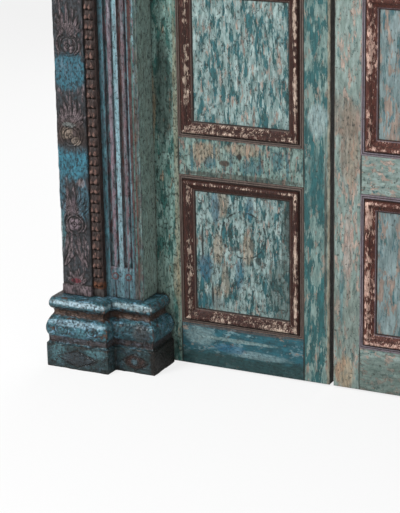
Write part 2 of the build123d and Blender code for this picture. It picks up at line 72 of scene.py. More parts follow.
def area_lamp(name, place, target, size, power):
    """A soft square lamp that points at a target."""
    data = bpy.data.lights.new(name, "AREA")
    data.size, data.energy = size, power
    lamp = bpy.data.objects.new(name, data)
    bpy.context.scene.collection.objects.link(lamp)
    away = Vector(place) - Vector(target)
    lamp.matrix_world = Matrix.Translation(place) @ away.to_track_quat("Z", "Y").to_matrix().to_4x4()


area_lamp("key_lamp", place=(-2.2, -3.4, 3.6), target=(0, 0, 0.6), size=1.6, power=185)
area_lamp("fill_lamp", place=(3.2, -3.6, 2.0), target=(0, 0, 0.8), size=3.0, power=62)
area_lamp("back_lamp", place=(-0.5, 4.0, 3.0), target=(0, 0, 1.0), size=3.0, power=110)


def linear(hex_colour):
    """An sRGB hex colour as the linear RGBA that a shader socket takes."""
    out = []
    for start in (1, 3, 5):
        c = int(hex_colour[start : start + 2], 16) / 255
        out.append(c / 12.92 if c <= 0.04045 else ((c + 0.055) / 1.055) ** 2.4)
    return (*out, 1.0)


def add(tree, kind, inputs=None, out=0, **settings):
    """Adds one node with its settings and links, and returns one of its outputs.

    An input is a value or another node's output. out is the output's number or name.
    """
    made = tree.nodes.new(kind)
    for name, value in settings.items():
        setattr(made, name, value)
    for key, value in (inputs or {}).items():
        if isinstance(value, bpy.types.NodeSocket):
            tree.links.new(value, made.inputs[key])
        else:
            made.inputs[key].default_value = value
    return made.outputs[out] if made.outputs else None


def empty_material(name):
    """A new material and its node tree, with no nodes yet."""
    material = bpy.data.materials.new(name)
    material.use_nodes = True
    material.node_tree.nodes.clear()
    return material, material.node_tree


world = bpy.data.worlds.new("studio")
bpy.context.scene.world = world
world.use_nodes = True
sky = world.node_tree
sky.nodes.clear()
seen = add(sky, "ShaderNodeLightPath", out="Is Camera Ray")
surround = add(sky, "ShaderNodeBackground", {"Color": linear(WHITE), "Strength": SURROUND_LIGHT})
backdrop = add(sky, "ShaderNodeBackground", {"Color": linear(WHITE), "Strength": 1.0})
mixed = add(sky, "ShaderNodeMixShader", {0: seen, 1: surround, 2: backdrop})
add(sky, "ShaderNodeOutputWorld", {"Surface": mixed})


def floor():
    """A wide floor of matt pale paint. It looks almost white to the camera and keeps a faint shadow."""
    material, tree = empty_material("pale_floor_paint")
    seen = add(tree, "ShaderNodeLightPath", out="Is Camera Ray")
    grain = add(tree, "ShaderNodeTexNoise", {"Scale": FLOOR_GRAIN, "Detail": 2.0})
    tone = add(tree, "ShaderNodeMapRange", {0: grain, 3: FLOOR_TONES[0], 4: FLOOR_TONES[1]})
    matt = add(tree, "ShaderNodeBsdfDiffuse", {"Color": tone})
    glow = add(tree, "ShaderNodeEmission", {"Color": linear(WHITE), "Strength": 1.0})
    share = add(tree, "ShaderNodeMath", {0: seen, 1: FLOOR_GLOW}, operation="MULTIPLY")
    both = add(tree, "ShaderNodeMixShader", {0: share, 1: matt, 2: glow})
    add(tree, "ShaderNodeOutputMaterial", {"Surface": both})
    mesh = bpy.data.meshes.new("floor")
    half = FLOOR_HALF
    corners = [(-half, -half, 0), (half, -half, 0), (half, half, 0), (-half, half, 0)]
    mesh.from_pydata(corners, [], [(0, 1, 2, 3)])
    mesh.materials.append(material)
    made = bpy.data.objects.new("floor", mesh)
    bpy.context.scene.collection.objects.link(made)


floor()


# Leaves: stiles, rails and flat panels of old teak under several thin coats of flaked paint. The
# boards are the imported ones, and their paint, grain, edge wear and marks are made in the material.

# Noise keeps mostly within half of NOISE_SPREAD from 0.5. Sizes are in metres. Teak's fibres are thinner
# than 1 mm, and are drawn FIBRE_WIDTH wide so that they show.
NOISE_SPREAD, RAGGEDNESS, SPOT_SOFTNESS = 0.42, 1.2, 0.25
FIBRE_WIDTH, ZONE_EDGE, ZONE_FLAKE = 0.0022, 0.012, 0.0055
STAIN_SIZE, RUN_WIDTH, PIT_SIZE, RING_BREAK = 0.007, 0.006, 0.0012, 0.03
# How far patterns are stretched along X, Y and Z, for a grain along X or along Z.
FIBRE_STRETCH = {"X": (14, 1, 1), "Z": (1, 1, 14)}
PATCH_STRETCH = {"X": (1.9, 1, 1.2), "Z": (1, 1, 3.8)}
GRIME_AND_SHADE, CUT_DIRT_AND_SHADE = "#1f1813", "#1d1713"
# A coat's thickness in the bump, how near another face darkens a place with dirt and painted shade, and how
# dark a zone's deep parts are.
COAT_DEPTH, SHUT_IN_REACH, DEEP_SHARE = 0.0011, 0.015, 0.38
# A ring is measured on its upright face, so depths are squeezed until they hardly count.
DEPTH_SQUEEZE = 1000

# A Mix node takes its share at socket 0 and its two colours at 6 and 7, and its colour comes out at 2. A
# Map Range takes its value at 0, the range it comes from at 1 and 2, and the range it goes to at 3 and 4.


def noise(tree, place, size, stretch=(1, 1, 1), seed=0.0, detail=5.0, rough=0.6, warp=0.0):
    """A noise value with a grain of a real size in metres, stretched along the axes."""
    scale = [1 / (size * share) for share in stretch]
    inputs = {"Vector": place, "Location": (seed, 1.7 * seed, 0.6 * seed), "Scale": scale}
    moved = add(tree, "ShaderNodeMapping", inputs)
    inputs = {"Vector": moved, "Scale": 1.0, "Detail": detail, "Roughness": rough, "Distortion": warp}
    return add(tree, "ShaderNodeTexNoise", inputs)


def covered(tree, value, share, soft=0.025):
    """A mask that a noise value sets to 1 over about a share of the surface."""
    inputs = {0: share, 1: NOISE_SPREAD, 2: -NOISE_SPREAD / 2}
    lift = add(tree, "ShaderNodeMath", inputs, operation="MULTIPLY_ADD")
    lifted = add(tree, "ShaderNodeMath", {0: value, 1: lift}, operation="ADD")
    inputs = {0: lifted, 1: 0.5 - soft, 2: 0.5 + soft}
    return add(tree, "ShaderNodeMapRange", inputs, interpolation_type="SMOOTHSTEP")


def worn_edges(tree, radius):
    """A mask for the worn edges of a board, and a normal that rounds them to a radius."""
    rounded = add(tree, "ShaderNodeBevel", {"Radius": radius}, samples=4)
    flat = add(tree, "ShaderNodeNewGeometry", out="True Normal")
    facing = add(tree, "ShaderNodeVectorMath", {0: rounded, 1: flat}, "Value", operation="DOT_PRODUCT")
    return add(tree, "ShaderNodeMapRange", {0: facing, 1: 0.995, 2: 0.8, 4: 0.75}), rounded


def left_side_place(tree, place):
    """Coordinates that are those of the left half of the door on both halves."""
    split = add(tree, "ShaderNodeSeparateXYZ", {0: place}).node.outputs
    across = add(tree, "ShaderNodeMath", {0: split[0]}, operation="ABSOLUTE")
    across = add(tree, "ShaderNodeMath", {0: across, 1: -1.0}, operation="MULTIPLY")
    return add(tree, "ShaderNodeCombineXYZ", {0: across, 1: split[1], 2: split[2]})


def draw_zones(tree, colour, place, zones, ragged, fresh):
    """Tints a patch with a ragged edge for each zone, and leaves parts of it deeper."""
    for centre, reach, hue, strength in zones:
        inputs = {"Vector": place, "Location": centre, "Scale": reach}
        near = add(tree, "ShaderNodeMapping", inputs, vector_type="TEXTURE")
        far = add(tree, "ShaderNodeVectorMath", {0: near}, "Value", operation="LENGTH")
        inputs = {0: ragged, 1: -RAGGEDNESS, 2: far}
        edge = add(tree, "ShaderNodeMath", inputs, operation="MULTIPLY_ADD")
        inputs = {0: edge, 1: 1 - RAGGEDNESS / 2 + SPOT_SOFTNESS, 2: 1 - RAGGEDNESS / 2 - SPOT_SOFTNESS}
        patch = add(tree, "ShaderNodeMapRange", inputs, interpolation_type="SMOOTHSTEP")
        share = add(tree, "ShaderNodeMath", {0: patch, 1: strength}, operation="MULTIPLY")
        deep = [DEEP_SHARE * channel for channel in linear(hue)[:3]] + [1.0]
        paint = add(tree, "ShaderNodeMix", {0: fresh, 6: deep, 7: linear(hue)}, 2, data_type="RGBA")
        colour = add(tree, "ShaderNodeMix", {0: share, 6: colour, 7: paint}, 2, data_type="RGBA")
    return colour


def draw_rings(tree, colour, place, rings, ragged, patchy):
    """Draws a thin broken circle on an upright face for each ring."""
    for centre, radius, width, hue, strength in rings:
        inputs = {"Vector": place, "Location": centre, "Scale": (1, DEPTH_SQUEEZE, 1)}
        flat = add(tree, "ShaderNodeMapping", inputs, vector_type="TEXTURE")
        far = add(tree, "ShaderNodeVectorMath", {0: flat}, "Value", operation="LENGTH")
        off = add(tree, "ShaderNodeMath", {0: far, 1: radius}, operation="SUBTRACT")
        off = add(tree, "ShaderNodeMath", {0: off}, operation="ABSOLUTE")
        uneven = add(tree, "ShaderNodeMath", {0: ragged, 1: 0.5}, operation="SUBTRACT")
        broken = add(tree, "ShaderNodeMath", {0: uneven, 1: 3 * width, 2: off}, operation="MULTIPLY_ADD")
        line = add(tree, "ShaderNodeMapRange", {0: broken, 1: width, 2: 0.4 * width, 4: strength})
        kept = covered(tree, patchy, share=0.5, soft=0.03)
        share = add(tree, "ShaderNodeMath", {0: line, 1: kept}, operation="MULTIPLY")
        colour = add(tree, "ShaderNodeMix", {0: share, 6: colour, 7: linear(hue)}, 2, data_type="RGBA")
    return colour


def old_paint(name, coats, wood, grain="Z", seed=0.0, edge=0.003, gloss=0.5, specks=0.2, speck="#2c2d2a",
              zones=(), rings=(), mirrored=False, attributes=False, streaks=0.3, relief=1.0, tint=None,
              dirt_and_shade=0.85):
    """Coats of flaked paint on wood, with dark specks, runs down the grain, and grime and painted shade where
    it is shut in.

    A coat is (light colour, dark colour, share covered, patch size in metres), the lowest first. wood
    is a light and a dark colour. A zone is (centre, half size, colour, strength) and tints a ragged
    patch, and a ring is (centre, radius, line width, colour, strength) and draws a broken circle.
    mirrored draws the left half's zones on the right half too. edge is the radius that worn edges are
    rounded to. gloss is about the lowest roughness, specks the share of dark specks, streaks how far the
    runs differ, relief how thick the coats look and dirt_and_shade how much grime and painted shade
    there is. With attributes, the mesh's wear bares the wood and its hollow gets dirt and painted shade,
    and tint is the colour where the mesh's tint is set.
    """
    # Each pattern's seed is moved on from the piece's own, so that no two patterns lie alike.
    material, tree = empty_material(name)
    place = add(tree, "ShaderNodeTexCoord", out="Object")
    along, drawn = FIBRE_STRETCH[grain], PATCH_STRETCH[grain]
    fibres = noise(tree, place, FIBRE_WIDTH, along, seed, detail=3.0)
    inputs = {0: fibres, 6: linear(wood[0]), 7: linear(wood[1])}
    colour = add(tree, "ShaderNodeMix", inputs, 2, data_type="RGBA")
    height = add(tree, "ShaderNodeMath", {0: fibres, 1: 0.5}, operation="MULTIPLY")
    bared, normal = worn_edges(tree, edge) if edge else (0.0, None)
    if attributes:
        bared = add(tree, "ShaderNodeAttribute", out="Fac", attribute_name="wear")

    for number, (light, dark, share, size) in enumerate(coats):
        shift = seed + 3.1 * (number + 1)
        tone = noise(tree, place, size * 0.8, drawn, shift + 11, detail=6.0)
        shades = covered(tree, tone, share=0.5, soft=0.16)
        patches = noise(tree, place, size, drawn, shift, detail=9.0, rough=0.7, warp=0.12)
        centred = add(tree, "ShaderNodeMath", {0: patches, 1: -0.08}, operation="ADD")
        grainy = add(tree, "ShaderNodeMath", {0: fibres, 1: 0.16, 2: centred}, operation="MULTIPLY_ADD")
        tender = 0.1 + number / max(1, len(coats) - 1)
        left = add(tree, "ShaderNodeMath", {0: bared, 1: -tender, 2: share}, operation="MULTIPLY_ADD")
        mask = covered(tree, grainy, left)
        inputs = {0: shades, 6: linear(dark), 7: linear(light)}
        paint = add(tree, "ShaderNodeMix", inputs, 2, data_type="RGBA")
        colour = add(tree, "ShaderNodeMix", {0: mask, 6: colour, 7: paint}, 2, data_type="RGBA")
        height = add(tree, "ShaderNodeMath", {0: mask, 1: 0.45, 2: height}, operation="MULTIPLY_ADD")

    zone_place = left_side_place(tree, place) if mirrored else place
    if zones or rings:
        ragged = noise(tree, place, ZONE_EDGE, drawn, seed + 40, detail=8.0, rough=0.7)
        flakes = noise(tree, place, ZONE_FLAKE, drawn, seed + 60, detail=6.0, rough=0.7)
        fresh = covered(tree, flakes, share=0.62, soft=0.09)
        colour = draw_zones(tree, colour, zone_place, zones, ragged, fresh)
        patchy = noise(tree, place, RING_BREAK, seed=seed + 70, detail=2.0)
        colour = draw_rings(tree, colour, zone_place, rings, ragged, patchy)

    stain = noise(tree, place, STAIN_SIZE, (1, 1, 1.5), seed + 20, detail=6.0, rough=0.72)
    dots = covered(tree, stain, specks, soft=0.035)
    share = add(tree, "ShaderNodeMath", {0: dots, 1: 0.78}, operation="MULTIPLY")
    colour = add(tree, "ShaderNodeMix", {0: share, 6: colour, 7: linear(speck)}, 2, data_type="RGBA")
    if tint:
        tinted = add(tree, "ShaderNodeAttribute", out="Fac", attribute_name="tint")
        kept = covered(tree, stain, share=0.8, soft=0.1)
        share = add(tree, "ShaderNodeMath", {0: tinted, 1: kept}, operation="MULTIPLY")
        colour = add(tree, "ShaderNodeMix", {0: share, 6: colour, 7: linear(tint)}, 2, data_type="RGBA")

    # Dirt and painted shade: the paint darkens towards dark brown where other faces are near, in corners,
    # creases and recesses where shade falls.
    open_air = add(tree, "ShaderNodeAmbientOcclusion", {"Distance": SHUT_IN_REACH}, "AO", samples=6)
    shut_in = add(tree, "ShaderNodeMapRange", {0: open_air, 1: 0.9, 2: 0.35})
    lumpy = add(tree, "ShaderNodeMath", {0: stain, 1: 0.9, 2: 0.35}, operation="MULTIPLY_ADD")
    grime_and_shade = add(tree, "ShaderNodeMath", {0: shut_in, 1: lumpy}, operation="MULTIPLY")
    grime_and_shade = add(tree, "ShaderNodeMath", {0: grime_and_shade, 1: dirt_and_shade}, operation="MULTIPLY")
    colour = add(tree, "ShaderNodeMix", {0: grime_and_shade, 6: colour, 7: linear(GRIME_AND_SHADE)}, 2, data_type="RGBA")

    run = noise(tree, place, RUN_WIDTH, [1 + 0.35 * (a - 1) for a in along], seed + 30, detail=4.0)
    shade = add(tree, "ShaderNodeMapRange", {0: run, 1: 0.3, 2: 0.7, 3: 1 - streaks, 4: 1 + streaks})
    grey = add(tree, "ShaderNodeCombineXYZ", {0: shade, 1: shade, 2: shade})
    inputs = {0: 1.0, 6: colour, 7: grey}
    colour = add(tree, "ShaderNodeMix", inputs, 2, data_type="RGBA", blend_type="MULTIPLY")
    height = add(tree, "ShaderNodeMath", {0: dots, 1: -0.5, 2: height}, operation="MULTIPLY_ADD")
    if attributes:
        # The mesh's hollow value darkens its cuts, grooves and undercuts: dirt and painted shade.
        hollow = add(tree, "ShaderNodeAttribute", out="Fac", attribute_name="hollow")
        share = add(tree, "ShaderNodeMath", {0: hollow, 1: 0.88}, operation="MULTIPLY")
        colour = add(tree, "ShaderNodeMix", {0: share, 6: colour, 7: linear(CUT_DIRT_AND_SHADE)}, 2, data_type="RGBA")

    pits = noise(tree, place, PIT_SIZE, seed=seed + 50, detail=2.0)
    height = add(tree, "ShaderNodeMath", {0: pits, 1: 0.18, 2: height}, operation="MULTIPLY_ADD")
    inputs = {"Height": height, "Distance": COAT_DEPTH * relief, "Strength": 0.9}
    if normal is not None:
        inputs["Normal"] = normal
    bump = add(tree, "ShaderNodeBump", inputs)
    rough = add(tree, "ShaderNodeMapRange", {0: stain, 1: 0.3, 2: 0.7, 3: gloss - 0.08, 4: gloss + 0.22})
    inputs = {"Base Color": colour, "Roughness": rough, "Normal": bump, "Specular IOR Level": 0.35}
    surface = add(tree, "ShaderNodeBsdfPrincipled", inputs)
    add(tree, "ShaderNodeOutputMaterial", {"Surface": surface})
    return material


def dress(node, material):
    """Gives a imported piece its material."""
    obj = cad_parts[node]
    if not obj.material_slots:
        obj.data.materials.append(material)
    for held in obj.material_slots:
        held.material = material


# Coats from the lowest to the top one: a pinkish or beige primer, a pale grey-green and a deep teal.
TEAK = ("#6a5a4c", "#3a2f27")
LEFT_COATS = [
    ("#a08f84", "#70645d", 0.9, 0.012),
    ("#93a6a4", "#5c7573", 0.68, 0.013),
    ("#2c5f66", "#284b4a", 0.42, 0.014),
]
HANGING_COATS = [
    ("#a08b74", "#6c6050", 0.78, 0.014),
    ("#7a968f", "#56736b", 0.76, 0.015),
    ("#32635d", "#2b4b46", 0.44, 0.016),
]
MEETING_COATS = [
    ("#93867a", "#6c6159", 0.84, 0.014),
    ("#7c918c", "#57716d", 0.66, 0.016),
    ("#2a5d60", "#274d4e", 0.50, 0.018),
]
FOOT_COATS = [
    ("#8f8276", "#665c54", 0.74, 0.014),
    ("#6d8b91", "#4e707a", 0.62, 0.018),
    ("#245a66", "#21464e", 0.62, 0.02),
]
LOCK_COATS = [
    ("#9a857a", "#72645c", 0.86, 0.012),
    ("#7f948e", "#587069", 0.64, 0.013),
    ("#2f5f64", "#2f4b49", 0.36, 0.014),
]
RIGHT_COATS = [
    ("#ac998d", "#857970", 0.94, 0.012),
    ("#879792", "#687a74", 0.62, 0.013),
    ("#436c73", "#465f59", 0.27, 0.013),
]
RIGHT_PANEL_COATS = [
    ("#948479", "#776b63", 0.92, 0.013),
    ("#7f9091", "#637677", 0.60, 0.017),
    ("#3f6a75", "#455e5a", 0.30, 0.018),
]
BEIGE, TEAL, BLUE, MOSS = "#9c8770", "#2a606b", "#305e72", "#2a3f3b"
JOINT_DARK, MARK_DARK, CRACK_DARK, GAP_EDGE_DARK_AND_SHADE = "#1b211f", "#26302f", "#1c1a18", "#21150e"
LEAF_FACE, PANEL_FACE, ZONE_DEPTH = 0.07, 0.08, 0.1
JOINT_HALF_WIDTH, RAIL_JOINTS = 0.0022, ((0.071, 0.075), (0.657, 0.064))


def flat_zones(face, rows):
    """Zones on an upright face, from rows of (x, z, half width, half height, colour, strength)."""
    return [
        ((x, face, z), (half_x, ZONE_DEPTH, half_z), hue, share)
        for x, z, half_x, half_z, hue, share in rows
    ]


def joint_lines(x):
    """Dark lines where the bottom and lock rails meet a stile."""
    rows = [(x, z, JOINT_HALF_WIDTH, half, JOINT_DARK, 0.85) for z, half in RAIL_JOINTS]
    return flat_zones(LEAF_FACE, rows)


# Each paint is old oil paint on teak, matt and chalky. It has flaked in patches along the grain, so the
# coats below show, and drips, cracks and rubbed places lie where the zones put them.
leaf_paints = {
    "left_panel": old_paint(
        "flaked_teal_paint_on_left_panels", LEFT_COATS, TEAK, seed=1.3, edge=0, specks=0.30,
    ),
    "left_lower_panel": old_paint(
        "flaked_teal_paint_on_left_lower_panel", LEFT_COATS, TEAK, seed=1.3, edge=0, specks=0.36,
        zones=[
            *flat_zones(PANEL_FACE, [
                (-0.353, 0.523, 0.020, 0.045, BEIGE, 0.50),
                (-0.367, 0.377, 0.016, 0.05, BEIGE, 0.55),
                (-0.270, 0.389, 0.018, 0.05, BEIGE, 0.55),
                (-0.345, 0.282, 0.014, 0.05, BEIGE, 0.45),
                (-0.375, 0.223, 0.016, 0.04, BEIGE, 0.45),
                (-0.412, 0.317, 0.024, 0.04, BLUE, 0.8),
                (-0.376, 0.508, 0.014, 0.05, BLUE, 0.6),
                (-0.263, 0.517, 0.012, 0.035, BLUE, 0.55),
                (-0.299, 0.310, 0.014, 0.05, BLUE, 0.55),
                (-0.400, 0.21, 0.05, 0.025, TEAL, 0.5),
                (-0.165, 0.27, 0.04, 0.10, MOSS, 0.55),
                (-0.150, 0.43, 0.014, 0.12, MOSS, 0.4),
                (-0.237, 0.356, 0.010, 0.012, MARK_DARK, 0.75),
                (-0.314, 0.385, 0.016, 0.008, MARK_DARK, 0.6),
                (-0.258, 0.400, 0.006, 0.020, MARK_DARK, 0.6),
                (-0.330, 0.437, 0.006, 0.016, MARK_DARK, 0.6),
                (-0.285, 0.578, 0.16, 0.012, "#26302c", 0.5),
                (-0.142, 0.50, 0.010, 0.10, "#26302c", 0.5),
                (-0.4195, 0.392, 0.0035, 0.048, CRACK_DARK, 0.85),
                (-0.388, 0.236, 0.0035, 0.040, CRACK_DARK, 0.85),
            ]),
        ],
        rings=[((-0.284, 0.08, 0.430), 0.071, 0.0034, "#1c2526", 0.9)],
    ),
    "left_hanging_stile": old_paint(
        "mottled_green_paint_on_left_hanging_stile", HANGING_COATS, TEAK, seed=2.7, specks=0.36,
        speck="#1d231e",
        zones=[
            *flat_zones(LEAF_FACE, [
                (-0.535, 0.84, 0.03, 0.16, "#1f2620", 0.65),
                (-0.575, 0.80, 0.012, 0.12, "#a08a6c", 0.6),
                (-0.497, 0.6, 0.008, 0.5, "#97896f", 0.5),
                (-0.576, 0.4, 0.006, 0.4, "#8a795f", 0.45),
                (-0.545, 0.18, 0.030, 0.15, "#7b8c82", 0.5),
                (-0.505, 0.28, 0.012, 0.08, "#8f826a", 0.55),
            ]),
            *joint_lines(-0.4902),
        ],
    ),
    "left_meeting_stile": old_paint(
        "worn_teal_paint_on_left_meeting_stile", MEETING_COATS, TEAK, seed=4.1,
        zones=[
            ((-0.0105, 0.07, 1.0), (0.0045, 0.02, 4.0), "#a08b72", 0.5),
            # The meeting edge in the gap between the leaves is painted near-black: dark bare wood and painted
            # shade.
            ((-0.0065, 0.103, 1.0), (0.005, 0.031, 4.0), GAP_EDGE_DARK_AND_SHADE, 0.95),
            *flat_zones(LEAF_FACE, [
                (-0.045, 0.80, 0.03, 0.05, "#9db0b0", 0.6),
                (-0.050, 0.62, 0.03, 0.09, "#28595c", 0.6),
                (-0.020, 0.45, 0.004, 0.30, "#4a382c", 0.6),
            ]),
            *joint_lines(-0.0868),
        ],
    ),
    "left_foot_rail": old_paint(
        "deep_teal_paint_on_left_bottom_rail", FOOT_COATS, TEAK, grain="X", seed=5.9,
        zones=[
            *flat_zones(LEAF_FACE, [
                (-0.3, 0.0, 1.2, 0.052, "#203c3b", 0.85),
                (-0.43, 0.10, 0.05, 0.03, "#8aa0a0", 0.5),
                (-0.24, 0.06, 0.10, 0.012, "#8aa3a6", 0.45),
                (-0.30, 0.098, 0.12, 0.006, "#93a9a6", 0.5),
                (-0.33, 0.070, 0.05, 0.014, "#1f5a78", 0.6),
                (-0.29, 0.131, 0.2, 0.004, "#5c4a44", 0.6),
            ]),
            *joint_lines(-0.0882),
            *joint_lines(-0.4888),
        ],
    ),
    "left_rail": old_paint(
        "flaked_grey_green_paint_on_left_rails", LOCK_COATS, TEAK, seed=7.7, specks=0.36,
        zones=[
            *flat_zones(LEAF_FACE, [
                (-0.403, 0.672, 0.05, 0.03, BEIGE, 0.65),
                (-0.28, 0.69, 0.06, 0.018, BEIGE, 0.55),
                (-0.387, 0.643, 0.02, 0.018, TEAL, 0.65),
                (-0.253, 0.640, 0.04, 0.02, TEAL, 0.5),
                (-0.17, 0.672, 0.02, 0.03, TEAL, 0.55),
                (-0.339, 0.646, 0.017, 0.009, "#43342a", 0.85),
                (-0.2909, 0.670, 0.0085, 0.010, "#2a201a", 0.95),
                (-0.446, 0.655, 0.005, 0.045, TEAL, 0.7),
                (-0.372, 0.670, 0.004, 0.035, TEAL, 0.7),
                (-0.318, 0.650, 0.005, 0.045, TEAL, 0.6),
                (-0.226, 0.660, 0.004, 0.040, TEAL, 0.7),
                (-0.139, 0.655, 0.005, 0.045, TEAL, 0.7),
                (-0.29, 0.608, 0.2, 0.008, "#3f3a30", 0.6),
            ]),
            *joint_lines(-0.0882),
            *joint_lines(-0.4888),
        ],
    ),
    "right_stile": old_paint(
        "worn_beige_and_green_paint_on_right_stiles", RIGHT_COATS, TEAK, seed=9.2, specks=0.24,
        zones=[
            # The meeting edge in the gap between the leaves is painted near-black: dark bare wood and painted
            # shade.
            ((0.0065, 0.103, 1.0), (0.005, 0.031, 4.0), GAP_EDGE_DARK_AND_SHADE, 0.95),
            *flat_zones(LEAF_FACE, [
                (0.035, 0.70, 0.010, 0.08, "#47757d", 0.45),
                (0.052, 0.73, 0.030, 0.13, "#8f7560", 0.55),
                (0.050, 0.43, 0.014, 0.10, "#ad948a", 0.5),
                (0.040, 0.82, 0.050, 0.06, "#776b60", 0.6),
                (0.045, 0.22, 0.050, 0.12, "#6d746b", 0.4),
                (0.030, 0.30, 0.006, 0.10, "#3f747c", 0.5),
            ]),
            *joint_lines(0.0868),
            *flat_zones(LEAF_FACE, [
                (0.04, 0.05, 0.03, 0.05, "#a98a68", 0.55),
            ]),
        ],
    ),
    "right_rail": old_paint(
        "worn_beige_and_green_paint_on_right_rails", RIGHT_COATS, TEAK, grain="X", seed=11.5, specks=0.24,
        zones=[*joint_lines(0.0882), *flat_zones(LEAF_FACE, [(0.2, 0.05, 0.4, 0.06, "#56665f", 0.6)])],
    ),
    "right_panel": old_paint("flaked_pale_paint_on_right_panels", RIGHT_PANEL_COATS, TEAK, seed=13.8, edge=0),
}


def dress_leaves():
    """Gives every board of both leaves its paint."""
    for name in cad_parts:
        if "_leaf_" not in name or "moulding" in name or "hinge" in name:
            continue
        side = name.split("_")[0]
        if name.endswith("_panel"):
            own = "left_lower_panel" if name == "left_leaf_lower_panel" else f"{side}_panel"
        elif name.endswith("_rail"):
            own = "left_foot_rail" if name == "left_leaf_bottom_rail" else f"{side}_rail"
        else:
            own = "right_stile" if side == "right" else name.replace("_leaf_", "_")
        dress(name, leaf_paints[own])


dress_leaves()


# Panel mouldings: mitred strips of teak with a worn ovolo, under chocolate paint rubbed to pale
# primer on the crest. Each frame is swept from one outline, with dents along its length.
def lattice(points, size, seed):
    """Smooth random values from -1 to 1 at points, with a grain of that size."""
    spread = np.asarray(points) / size
    cell = np.floor(spread).astype(int)
    part = spread - cell
    part = part * part * (3 - 2 * part)
    total = np.zeros(len(spread))
    for corner in np.ndindex(2, 2, 2):
        key = np.sin((cell + corner) @ (12.9898, 78.233, 37.719) + 4.1 * seed) * 43758.5453
        weight = np.prod(np.where(corner, part, 1 - part), axis=1)
        total += (2 * (key - np.floor(key)) - 1) * weight
    return total


def grid_faces(rows, columns, start=0):
    """Quads over a grid of vertices stored row by row."""
    index = start + np.arange(rows * columns).reshape(rows, columns)
    return np.stack([index[:-1, :-1], index[:-1, 1:], index[1:, 1:], index[1:, :-1]], axis=-1).reshape(-1, 4)


def make_object(name, vertices, faces, material, wear=None, hollow=None, tint=None):
    """A smooth-shaded mesh object at the origin, with its wear, hollow and tint stored for the material."""
    mesh = bpy.data.meshes.new(name)
    mesh.from_pydata([tuple(v) for v in vertices], [], [tuple(f) for f in faces])
    for title, values in (("wear", wear), ("hollow", hollow), ("tint", tint)):
        if values is not None:
            stored = mesh.attributes.new(title, "FLOAT", "POINT")
            stored.data.foreach_set("value", np.asarray(values, dtype=np.float32))
    mesh.polygons.foreach_set("use_smooth", [True] * len(mesh.polygons))
    mesh.materials.append(material)
    mesh.update()
    made = bpy.data.objects.new(name, mesh)
    bpy.context.scene.collection.objects.link(made)
    return made


# Rows across one strip from its outer edge to the panel: how far in and how proud in millimetres, then
# how much it is worn, how much dirt and painted shade darken it, and whether it is a grey fillet.
MOULDING_PROFILE = np.array([
    (0.0, -6.0, 0, 0.6, 1), (0.0, 1.8, 0.2, 0.2, 1), (0.8, 3.0, 0.5, 0, 1), (4.4, 3.2, 0.3, 0, 1),
    (5.0, 1.7, 0, 0.8, 0), (6.0, 1.7, 0, 0.8, 0), (6.6, 3.4, 0.2, 0, 1), (10.4, 3.6, 0.3, 0, 1),
    (11.2, 2.4, 0.1, 0.4, 0), (12.2, 1.2, 0, 1, 0), (13.4, 1.8, 0, 0.9, 0), (14.2, 5.6, 0.1, 0.3, 0),
    (15.8, 9.8, 0.35, 0, 0), (18.0, 13.0, 0.7, 0, 0), (20.6, 14.7, 1, 0, 0), (23.4, 14.9, 1, 0, 0),
    (26.2, 13.8, 0.7, 0, 0), (28.6, 11.6, 0.5, 0, 0), (30.4, 9.2, 0.45, 0.1, 0),
    (31.4, 8.8, 0.3, 0.5, 0), (32.4, 7.0, 0.1, 0.3, 0), (35.6, 4.4, 0.1, 0, 0), (39.4, 1.2, 0.1, 0, 0),
    (43.0, -2.0, 0.2, 0, 0), (45.6, -3.4, 0.5, 0, 1), (46.6, -5.2, 0.1, 0.8, 0),
    (47.8, -5.0, 0.2, 0.9, 0), (49.0, -5.4, 0.3, 0.6, 0), (49.0, -8.0, 0, 0.8, 0),
])
STRIP_STEPS, CREST_INNER, CREST_OUTER, FILLET_SHOWN = 96, 0.014, 0.046, 0.85
# How far the strip lies back, how deep the sway along it, its dents and its rubbing go, and how long the
# sway and the dents are.
LAID_BACK, SWAY_DEPTH, DENT_DEPTH, RUBBED_DEPTH = 0.0004, 0.0005, 0.0008, 0.0002
SWAY_SIZE, DENT_SIZE = 0.06, 0.009


